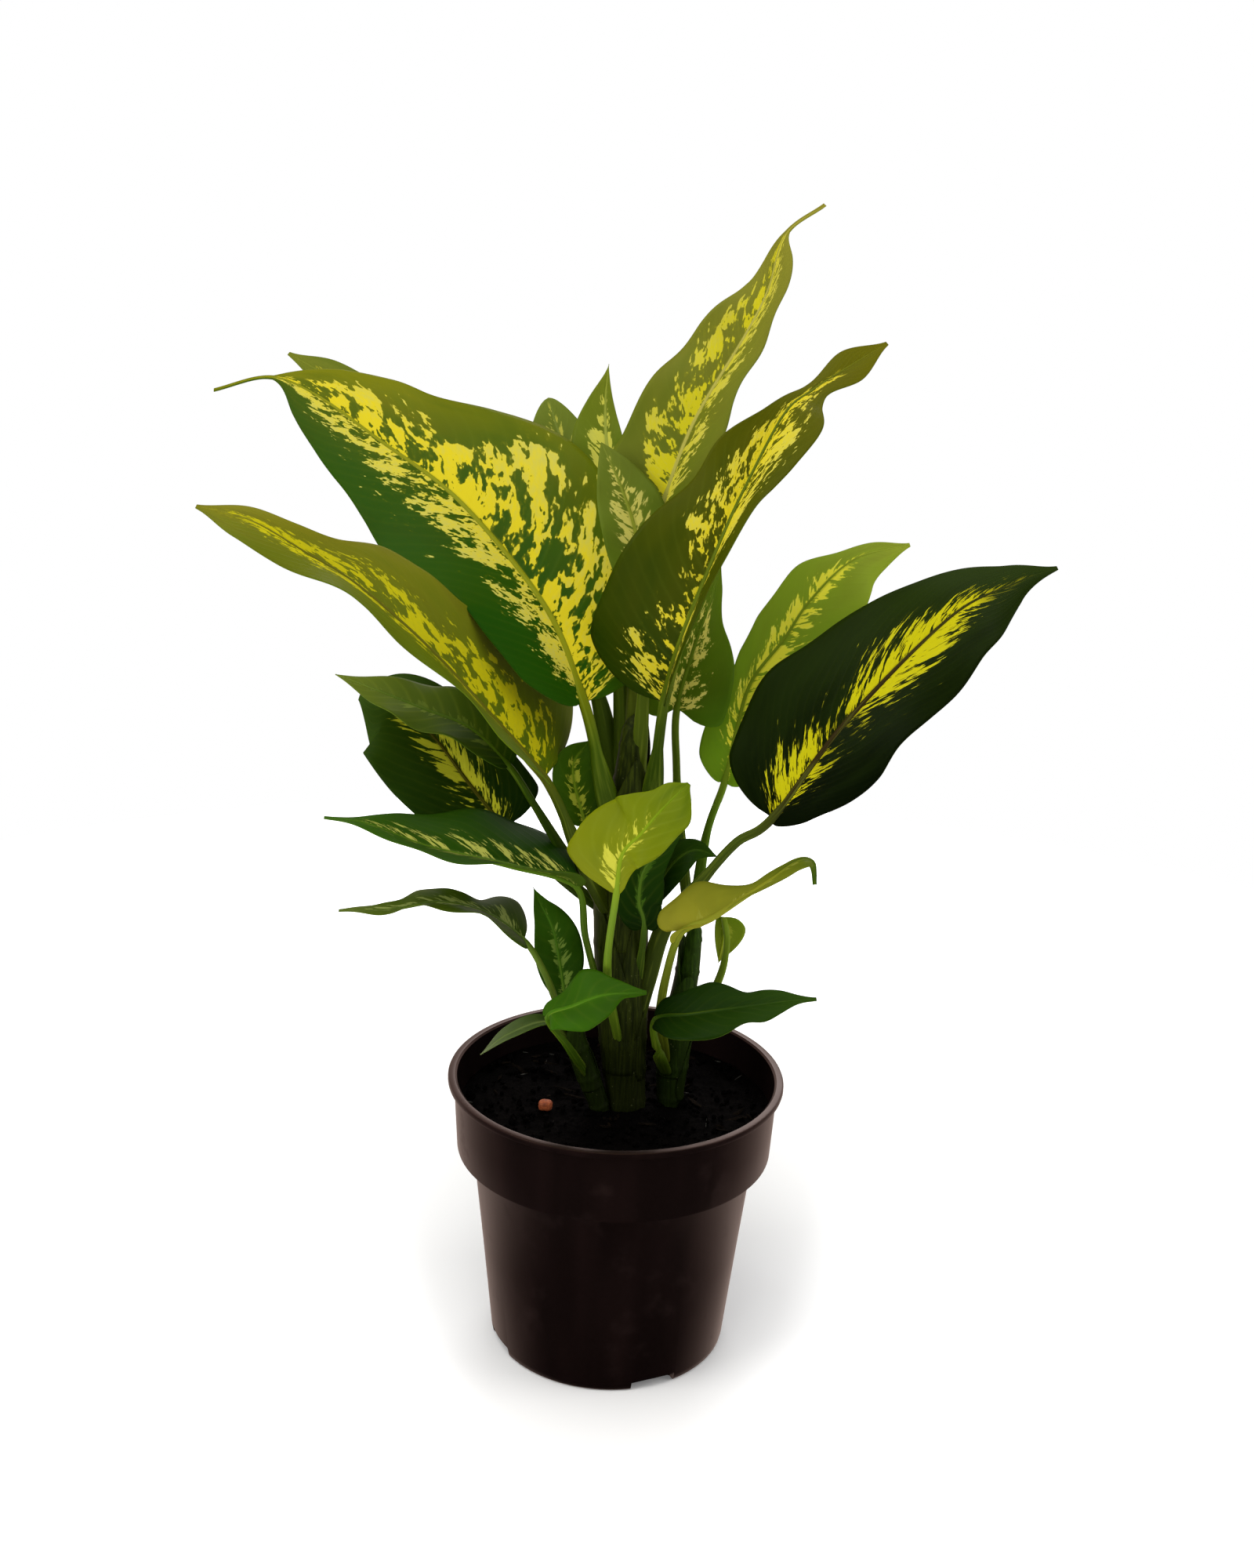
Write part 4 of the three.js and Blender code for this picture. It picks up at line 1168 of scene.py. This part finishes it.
SCAR_HEIGHT = 0.45
CANE_RIB = 0.12  # the height of the five faint ribs that wind up a cane
CANE_FOOT_ROUNDING = 0.01  # the shares of its length over which a cane rounds off
CANE_TIP_ROUNDING = 0.03
SHEATH_GRID = (20, 40)
SHEATH_THICKNESS = 0.5
SHEATH_GROWTH = (0.35, 0.1, 3.2)  # off the cane: at its foot, for each next sheath, at its top
DARK_FOOT = 0.08  # how far up the canes are darker, in metres


def cane_ring(line, radii, share, growth=0.0):
    """The cane's middle, its right, its back and its radius there, with its ring scars."""
    heading = line.heading(share)
    right = (Vector((1, 0, 0)) - heading * heading.x).normalized()
    back = heading.cross(right)
    from_scar = (share * line.length / SCAR_GAP) % 1
    scar = math.exp(-((min(from_scar, 1 - from_scar) / SCAR_LENGTH) ** 2))
    return line.point(share), right, back, between(radii, share) + growth + SCAR_HEIGHT * scar


def modelled_stem(name):
    given = STEMS[name]
    line = Line(given["path"])

    def on_cane(angle, along):
        middle, right, back, radius = cane_ring(line, given["radii"], along)
        radius += CANE_RIB * math.sin(5 * angle + 9 * along)
        radius *= rounded_ends(along, CANE_FOOT_ROUNDING, CANE_TIP_ROUNDING)
        return middle + (right * math.cos(angle) + back * math.sin(angle)) * radius

    cane = tube_of(name, CANE_SIDES, CANE_RINGS, on_cane)
    sheaths = []
    at_foot, each_next, at_top = SHEATH_GROWTH
    for number, (foot, top, turn, spread) in enumerate(given["sheaths"]):

        def on_sheath(across, along):
            share = foot + (top - foot) * along
            growth = at_foot + each_next * number + at_top * along**2
            middle, right, back, radius = cane_ring(line, given["radii"], share, growth)
            half = spread * (1 - along**1.7) ** 0.8 * (0.86 + 0.14 * min(1, along * 8))
            angle = math.radians(turn - 90) + across * half
            return middle + (right * math.cos(angle) - back * math.sin(angle)) * radius

        sheath = sheet_of(f"{name}.sheath.{number}", *SHEATH_GRID, on_sheath)
        modified(sheath, "SOLIDIFY", thickness=SHEATH_THICKNESS * MM, offset=1)
        sheaths.append(sheath)
    join(cane, *sheaths)
    smooth(cane)
    keep(cane, name, "stem", cane_finish(name + "_skin", given["green"]))


def cane_finish(name, green):
    """Smooth cane and leaf sheaths: dark olive, with lengthwise streaks and pale specks."""
    finish = Finish(name)
    place = finish.object_place()
    streaks = finish.noise(finish.drawn_out(900, 900, 45), 1.0, detail=3.0, roughness=0.6)
    patches = finish.noise(place, 60.0, detail=3.0)
    specks = finish.noise(place, 900.0, detail=1.0)
    dark, light = [srgb(*colour) for colour in green]
    colour = finish.mixed((streaks - 0.4) * 1.8, dark, light)
    colour = finish.mixed((patches - 0.5) * 2, colour, srgb(20, 28, 2))
    height = finish.node("ShaderNodeSeparateXYZ", inputs={0: place}).out("Z")
    foot = (1 - (height - SOIL_LEVEL * MM) / DARK_FOOT).clamped()
    colour = finish.mixed(foot * 0.75, colour, srgb(20, 23, 7))
    colour = finish.mixed((specks * 9 - 6.6).clamped() * 0.4, colour, srgb(168, 170, 120))
    return finish.finished(colour, 0.42 + streaks * 0.2, streaks, Specular_IOR_Level=0.08)


# ---------------------------------------------------------------- potting soil and its pellet

SOIL_RADIUS = 79.5
SOIL_EDGE = 0.7  # how much of the way out and down is the soil's top
SOIL_OUTLINE = [  # (share of the way out and down, radius, height) from the middle to the underside
    (0.0, 0, SOIL_LEVEL + 1.5),
    (0.3, 38, SOIL_LEVEL - 1),
    (0.5, 60, SOIL_LEVEL),
    (SOIL_EDGE, SOIL_RADIUS, SOIL_LEVEL - 1),
    (0.8, 78.5, 109),
    (0.84, 69.5, 108),
    (0.95, 57, 3),
    (1.0, 0, 3),
]
SOIL_GRID = (200, 150)
CLUMPS = [(11, 1.5), (4, 0.9), (1.8, 0.7)]  # (size, height)
CRUMBS = 420
BARK_BITS = 46
SLIVERS = 16
BARE_RADIUS = 14  # round the pot's axis, where the thick cane stands, nothing is strewn
STREWN_RADIUS = SOIL_RADIUS - 3
MOST_TILT = 0.35  # in radians


def soil_profile(share):
    for before, after in zip(SOIL_OUTLINE, SOIL_OUTLINE[1:]):
        if share <= after[0]:
            t = (share - before[0]) / (after[0] - before[0])
            return [start + (end - start) * t for start, end in zip(before[1:], after[1:])]
    return SOIL_OUTLINE[-1][1:]


def on_soil(angle, share):
    """Loose, clumpy soil: its top is rough, and its sides and underside follow the pot's wall."""
    radius, height = soil_profile(share)
    spot = Vector((radius * math.cos(angle), -radius * math.sin(angle), height))
    if share < SOIL_EDGE:
        clumps = sum(rise * noise.noise(spot / size) for size, rise in CLUMPS)
        spot.z += clumps * min(1, (SOIL_EDGE - share) / 0.02)
    return spot


def scattered(piece, name, count, shape, dice):
    """Copies of a small piece strewn over the soil, joined into one. shape gives each its scale."""
    copies = []
    for _ in range(count):
        copy = piece.copy()
        copy.data = piece.data.copy()
        bpy.context.collection.objects.link(copy)
        angle = dice.uniform(0, 2 * math.pi)
        radius = math.sqrt(dice.uniform(BARE_RADIUS**2, STREWN_RADIUS**2))
        scale = shape(dice)
        ground = SOIL_LEVEL + 0.4 + 0.2 * scale[2]
        spot = Vector((radius * math.cos(angle), radius * math.sin(angle), ground)) * MM
        tilt = Matrix.Rotation(dice.uniform(-MOST_TILT, MOST_TILT), 4, "X")
        tilt = tilt @ Matrix.Rotation(dice.uniform(-MOST_TILT, MOST_TILT), 4, "Y")
        turn = Matrix.Rotation(dice.uniform(0, math.pi), 4, "Z")
        size = Matrix.Diagonal((*[part * MM for part in scale], 1))
        copy.data.transform(Matrix.Translation(spot) @ tilt @ turn @ size)
        copies.append(copy)
    joined = join(*copies)
    joined.name = joined.data.name = name
    return joined


def crumb():
    """One lump of soil, the start of all of them: a ball with its corners pushed in and out."""
    deselect()
    bpy.ops.mesh.primitive_ico_sphere_add(subdivisions=1, radius=1)
    lump = bpy.context.object
    for vertex in lump.data.vertices:
        vertex.co *= 1 + 0.35 * noise.noise(vertex.co * 2.3)
    return lump


def crumb_scale(dice):
    size = dice.uniform(0.7, 2.1)
    return [size * dice.uniform(0.7, 1.2) for _ in range(3)]


def bark_scale(dice):
    return [dice.uniform(3, 8), dice.uniform(0.7, 1.6), dice.uniform(0.4, 0.9)]


def sliver_scale(dice):
    return [dice.uniform(1.5, 4.5), dice.uniform(0.25, 0.5), 0.25]


def modelled_soil():
    dice = random.Random(7)
    soil = tube_of("potting_soil", *SOIL_GRID, on_soil)
    lump = crumb()
    join(soil, scattered(lump, "soil_crumbs", CRUMBS, crumb_scale, dice))
    bark = scattered(lump, "bark_fibres", BARK_BITS, bark_scale, dice)
    slivers = scattered(lump, "pale_slivers", SLIVERS, sliver_scale, dice)
    for piece, node, name, dark, light in (
        (soil, "potting_soil", "moist_peat", (3, 2, 2), (11, 8, 7)),
        (bark, None, "bark", (12, 9, 6), (34, 25, 17)),
        (slivers, None, "dry_sliver", (46, 45, 42), (104, 102, 96)),
    ):
        smooth(piece, 40)
        keep(piece, node, "soil", soil_finish(name, dark, light))
    bpy.data.objects.remove(lump)


def soil_finish(name, dark, light):
    finish = Finish(name)
    place = finish.object_place()
    grains = finish.noise(place, 700.0, detail=4.0, roughness=0.7)
    damp = finish.noise(place, 45.0, detail=2.0)
    colour = finish.mixed((grains - 0.42) * 3, srgb(*dark), srgb(*light))
    colour = finish.mixed((damp - 0.5) * 2, colour, srgb(3, 3, 3))
    bumps = {"relief": 0.0008, "strength": 0.8}
    return finish.finished(colour, 0.7 + damp * 0.25, grains, **bumps, Specular_IOR_Level=0.02)


PELLET_PLACE = Vector((-35, -10, SOIL_LEVEL + 2.5))
PELLET_SIZE = Vector((3.7, 3.1, 2.9))  # half its width, depth and height


def modelled_pellet():
    """A rough pressed pellet: a ball squared off to a lump with softened edges."""
    deselect()
    bpy.ops.mesh.primitive_ico_sphere_add(subdivisions=4, radius=1)
    pellet = bpy.context.object
    pellet.name = pellet.data.name = "fertiliser_pellet"
    for vertex in pellet.data.vertices:
        spot = vertex.co.copy()
        square = sum(abs(part) ** 3 for part in spot) ** (-1 / 3)
        rough = 1 + 0.05 * noise.noise(spot * 2) + 0.03 * noise.noise(spot * 7)
        vertex.co = (spot * (square * rough * 0.94) * PELLET_SIZE + PELLET_PLACE) * MM
    smooth(pellet)
    finish = Finish("coated_pellet")
    place = finish.object_place()
    grains = finish.noise(place, 1100.0, detail=3.0)
    stain = finish.noise(place, 330.0, detail=2.0)
    colour = finish.mixed((grains - 0.35) * 2, srgb(150, 66, 28), srgb(206, 112, 58))
    colour = finish.mixed((stain - 0.5) * 3, colour, srgb(70, 30, 16))
    skin = finish.finished(colour, 0.6 + grains * 0.2, grains, relief=0.0004, strength=0.5)
    keep(pellet, "fertiliser_pellet", "pellet", skin)


# ---------------------------------------------------------------- nursery pot

RIM_RADIUS = 85
POT_HEIGHT = 146.4
LIP_FOOT = POT_HEIGHT - 3.2
COLLAR_TOP = 82
COLLAR_BOTTOM = 80
COLLAR_UNDERSIDE = 107
BODY_TOP = 72
BODY_FOOT = 61
BASE_RADIUS = 58.7
WALL = 1.5
POT_SIDES = 160
POT_OUTLINE = [  # (radius, height) from the rim of the flat base, over the lip, to the floor inside
    (BASE_RADIUS, 0),
    (BASE_RADIUS + 0.9, 0.35),
    (BASE_RADIUS + 1.7, 1.3),
    (BODY_FOOT, 4),
    (BODY_FOOT + 0.48 * (BODY_TOP - BODY_FOOT), 55),
    (BODY_TOP - 0.1, COLLAR_UNDERSIDE - 1),
    (BODY_TOP + 0.4, COLLAR_UNDERSIDE - 0.2),
    (BODY_TOP + 1.2, COLLAR_UNDERSIDE),
    (COLLAR_BOTTOM - 0.9, COLLAR_UNDERSIDE),
    (COLLAR_BOTTOM - 0.2, COLLAR_UNDERSIDE + 0.2),
    (COLLAR_BOTTOM, COLLAR_UNDERSIDE + 0.9),
    (COLLAR_BOTTOM + 0.95, 125),
    (COLLAR_TOP - 0.2, LIP_FOOT - 0.6),
    (COLLAR_TOP + 0.5, LIP_FOOT - 0.1),
    (RIM_RADIUS - 0.9, LIP_FOOT),
    (RIM_RADIUS - 0.2, LIP_FOOT + 0.25),
    (RIM_RADIUS, LIP_FOOT + 0.9),
    (RIM_RADIUS, POT_HEIGHT - 1),
    (RIM_RADIUS - 0.3, POT_HEIGHT - 0.3),
    (RIM_RADIUS - 1, POT_HEIGHT),
    (COLLAR_TOP - WALL + 1, POT_HEIGHT),
    (COLLAR_TOP - WALL, POT_HEIGHT - 0.8),
    (COLLAR_BOTTOM - WALL, COLLAR_UNDERSIDE + WALL + 1),
    (COLLAR_BOTTOM - WALL - 1, COLLAR_UNDERSIDE + WALL),
    (BODY_TOP - WALL, COLLAR_UNDERSIDE + WALL),
    (BODY_FOOT - WALL, 4),
    (BASE_RADIUS - WALL - 1, WALL),
]
NOTCHES = 4
NOTCH_WIDTH = 23.5
NOTCH_HEIGHT = 5.5
NOTCH_FROM_AXIS = 60
NOTCH_DEPTH = 12
NOTCH_ROUNDING = 1.2
FIRST_NOTCH = 24  # degrees from the front towards the right


def modelled_pot():
    """A disc drawn up into a pot: extruded and resized for each next point of its outline."""
    deselect()
    bpy.ops.mesh.primitive_circle_add(vertices=POT_SIDES, radius=BASE_RADIUS * MM, fill_type="NGON")
    pot = bpy.context.object
    pot.name = pot.data.name = "nursery_pot"
    bpy.ops.object.mode_set(mode="EDIT")
    bpy.ops.mesh.select_all(action="SELECT")
    for (radius, height), (next_radius, next_height) in zip(POT_OUTLINE, POT_OUTLINE[1:]):
        rise = (0, 0, (next_height - height) * MM)
        bpy.ops.mesh.extrude_region_move(TRANSFORM_OT_translate={"value": rise})
        ratio = next_radius / radius
        bpy.ops.transform.resize(value=(ratio, ratio, 1), center_override=(0, 0, 0))
    bpy.ops.mesh.select_all(action="SELECT")
    bpy.ops.mesh.normals_make_consistent(inside=False)
    bpy.ops.object.mode_set(mode="OBJECT")
    for number in range(NOTCHES):
        cut_notch(pot, math.radians(FIRST_NOTCH + 360 / NOTCHES * number))
    smooth(pot, 30)
    keep(pot, "nursery_pot", "pot_plastic", pot_finish())


def cut_notch(pot, azimuth):
    """A drain notch: a block with rounded edges, taken out of the pot's foot."""
    deselect()
    bpy.ops.mesh.primitive_cube_add(size=1)
    block = bpy.context.object
    size = Vector((NOTCH_WIDTH, NOTCH_DEPTH, 2 * NOTCH_HEIGHT)) * MM
    block.data.transform(Matrix.Diagonal((*size, 1)))
    modified(block, "BEVEL", width=NOTCH_ROUNDING * MM, segments=4)
    out = Matrix.Translation((0, -NOTCH_FROM_AXIS * MM, 0))
    block.data.transform(Matrix.Rotation(azimuth, 4, "Z") @ out)
    modified(pot, "BOOLEAN", operation="DIFFERENCE", object=block, solver="EXACT")
    bpy.data.objects.remove(block)


def pot_finish():
    """Satin brown-black moulded plastic, with faint flow lines and rubbed marks."""
    finish = Finish("moulded_plastic")
    place = finish.object_place()
    flow = finish.noise(finish.drawn_out(60, 60, 8), 1.0, detail=3.0)
    grain = finish.noise(place, 1600.0, detail=2.0)
    marks = finish.noise(place, 38.0, detail=4.0, roughness=0.65)
    rubbed = (marks * 5 - 2.9).clamped()
    colour = finish.mixed((flow - 0.4) * 2, srgb(15, 8, 8), srgb(25, 14, 14))
    colour = finish.mixed(rubbed * 0.3, colour, srgb(50, 37, 36))
    roughness = 0.26 + flow * 0.1 + rubbed * 0.16
    height = grain * 0.35 + flow * 0.8
    gloss = {"Specular_IOR_Level": 0.4, "Specular_Tint": srgb(255, 196, 176)}
    return finish.finished(colour, roughness, height, relief=0.0002, strength=0.25, **gloss)


# ---------------------------------------------------------------- camera, floor and light

# Places and sizes here are in metres, and angles in degrees.
CAMERA_PLACE = (0, -0.866, 0.575)
CAMERA_DOWN = 17.62
CAMERA_ROLL = 2.18
CAMERA_LENS = 43.2
FLOOR_RADIUS = 0.9
# The floor's glow is dimmed round the pot and behind it into a painted shadow, which these place and
# shape.
SHADOW_MIDDLE = 0.13  # behind the pot's axis
SHADOW_SPREAD = 1.2  # how much wider it is, for each metre further back
SHADOW_SHORTENING = 0.4
FLOOR_GLOW_WITH_PAINTED_SHADOW = [  # (metres from the shadow's middle, brightness)
    (0.06, (0.04, 0.04, 0.04, 1)),
    (0.1, (0.16, 0.16, 0.16, 1)),
    (0.15, (0.6, 0.6, 0.6, 1)),
    (0.22, (1, 1, 1, 1)),
]
WHITE = (1, 1, 1, 1)
SKY_SEEN = 1.0
SKY_LIGHT = 0.42
SKY_MIRRORED = 0.9  # behind the plant, from where it fades to nothing in front of it
MIRRORED_COLOUR = (1.0, 0.76, 0.66, 1)
FADED_AT = -0.1  # the Y of the direction, negative in front, where nothing of it is left
LAMPS = [  # (name, place, size, power, colour)
    ("lamp_over", (-0.25, -0.35, 1.7), 1.1, 13.0, (1.0, 0.98, 0.94)),
    ("lamp_left", (-1.3, -0.7, 0.9), 0.9, 9.0, (1.0, 0.98, 0.95)),
    ("lamp_right", (1.3, -0.2, 0.8), 0.8, 6.0, (1.0, 0.97, 0.94)),
    ("lamp_behind", (0.2, 1.4, 1.2), 1.0, 8.0, (1.0, 1.0, 1.0)),
]
LAMP_AIM = Vector((0, 0, 0.28))


def set_camera():
    camera = bpy.data.objects.new("camera", bpy.data.cameras.new("camera"))
    bpy.context.collection.objects.link(camera)
    tilt = Matrix.Rotation(math.radians(90 - CAMERA_DOWN), 4, "X")
    roll = Matrix.Rotation(math.radians(CAMERA_ROLL), 4, "Z")
    camera.matrix_world = Matrix.Translation(CAMERA_PLACE) @ tilt @ roll
    camera.data.lens = CAMERA_LENS
    bpy.context.scene.camera = camera


def set_floor():
    """A white disc that glows more the further it is from the pot: the dim glow round and behind it
    is a painted shadow.
    """
    deselect()
    bpy.ops.mesh.primitive_circle_add(vertices=96, radius=FLOOR_RADIUS, fill_type="NGON")
    floor = bpy.context.object
    floor.name = floor.data.name = "floor"
    finish = Finish("white_floor")
    place = finish.object_place()
    grain = finish.noise(place, 4.0, detail=2.0)
    colour = finish.mixed(grain, srgb(247, 247, 248), srgb(250, 250, 250))
    skin = finish.finished(colour, 0.9, Specular_IOR_Level=0.0, Emission_Strength=1.0)
    floor.data.materials.append(skin)
    right = finish.node("ShaderNodeSeparateXYZ", inputs={0: place})
    back = right.out("Y")
    sideways = right / (back * SHADOW_SPREAD + 1)
    backwards = (back - SHADOW_MIDDLE) * SHADOW_SHORTENING
    from_middle = finish.vector(sideways, backwards, 0)
    reach = finish.node("ShaderNodeVectorMath", {"operation": "LENGTH"}, {0: from_middle}, output=1)
    # painted shadow: the glow is dimmed near the pot, in a patch that widens and stretches backwards
    glow_with_painted_shadow = finish.node("ShaderNodeValToRGB", {"stops": FLOOR_GLOW_WITH_PAINTED_SHADOW}, {0: reach})
    finish.feed(finish.shader.inputs["Emission Color"], glow_with_painted_shadow)
    floor.visible_glossy = False


def set_lights():
    for name, place, size, power, colour in LAMPS:
        lamp = bpy.data.objects.new(name, bpy.data.lights.new(name, "AREA"))
        bpy.context.collection.objects.link(lamp)
        lamp.location = place
        lamp.rotation_mode = "QUATERNION"
        lamp.rotation_quaternion = (LAMP_AIM - lamp.location).to_track_quat("-Z", "Y")
        lamp.data.size = size
        lamp.data.energy = power
        lamp.data.color = colour


def set_world():
    """A white room to the camera, a dimmer light for all else, and what the pot's gloss mirrors."""
    world = bpy.data.worlds.new("room")
    bpy.context.scene.world = world
    world.use_nodes = True
    room = Nodes(world.node_tree)
    background = room.tree.nodes["Background"]
    direction = room.node("ShaderNodeTexCoord", output="Generated")
    behind = room.node("ShaderNodeSeparateXYZ", inputs={0: direction}).out("Y")
    fade = {"Value": behind, "From Min": FADED_AT, "To Max": SKY_MIRRORED}
    mirrored = room.node("ShaderNodeMapRange", inputs=fade)
    seen = room.node("ShaderNodeLightPath", output="Is Camera Ray")
    glossy = seen.out("Is Glossy Ray")
    strength = SKY_LIGHT
    for rays, brightness in ((glossy, mirrored), (seen, SKY_SEEN)):
        chosen = {"Value": rays, "To Min": strength, "To Max": brightness}
        strength = room.node("ShaderNodeMapRange", inputs=chosen)
    room.feed(background.inputs["Strength"], strength)
    room.feed(background.inputs["Color"], room.mixed(glossy, WHITE, MIRRORED_COLOUR))


# ---------------------------------------------------------------- the plant

set_camera()
modelled_pot()
modelled_soil()
modelled_pellet()
for stem_name in STEMS:
    modelled_stem(stem_name)
for leaf_name in LEAVES:
    modelled_leaf(leaf_name)
set_floor()
set_lights()
set_world()
bpy.context.scene.view_settings.view_transform = "Standard"
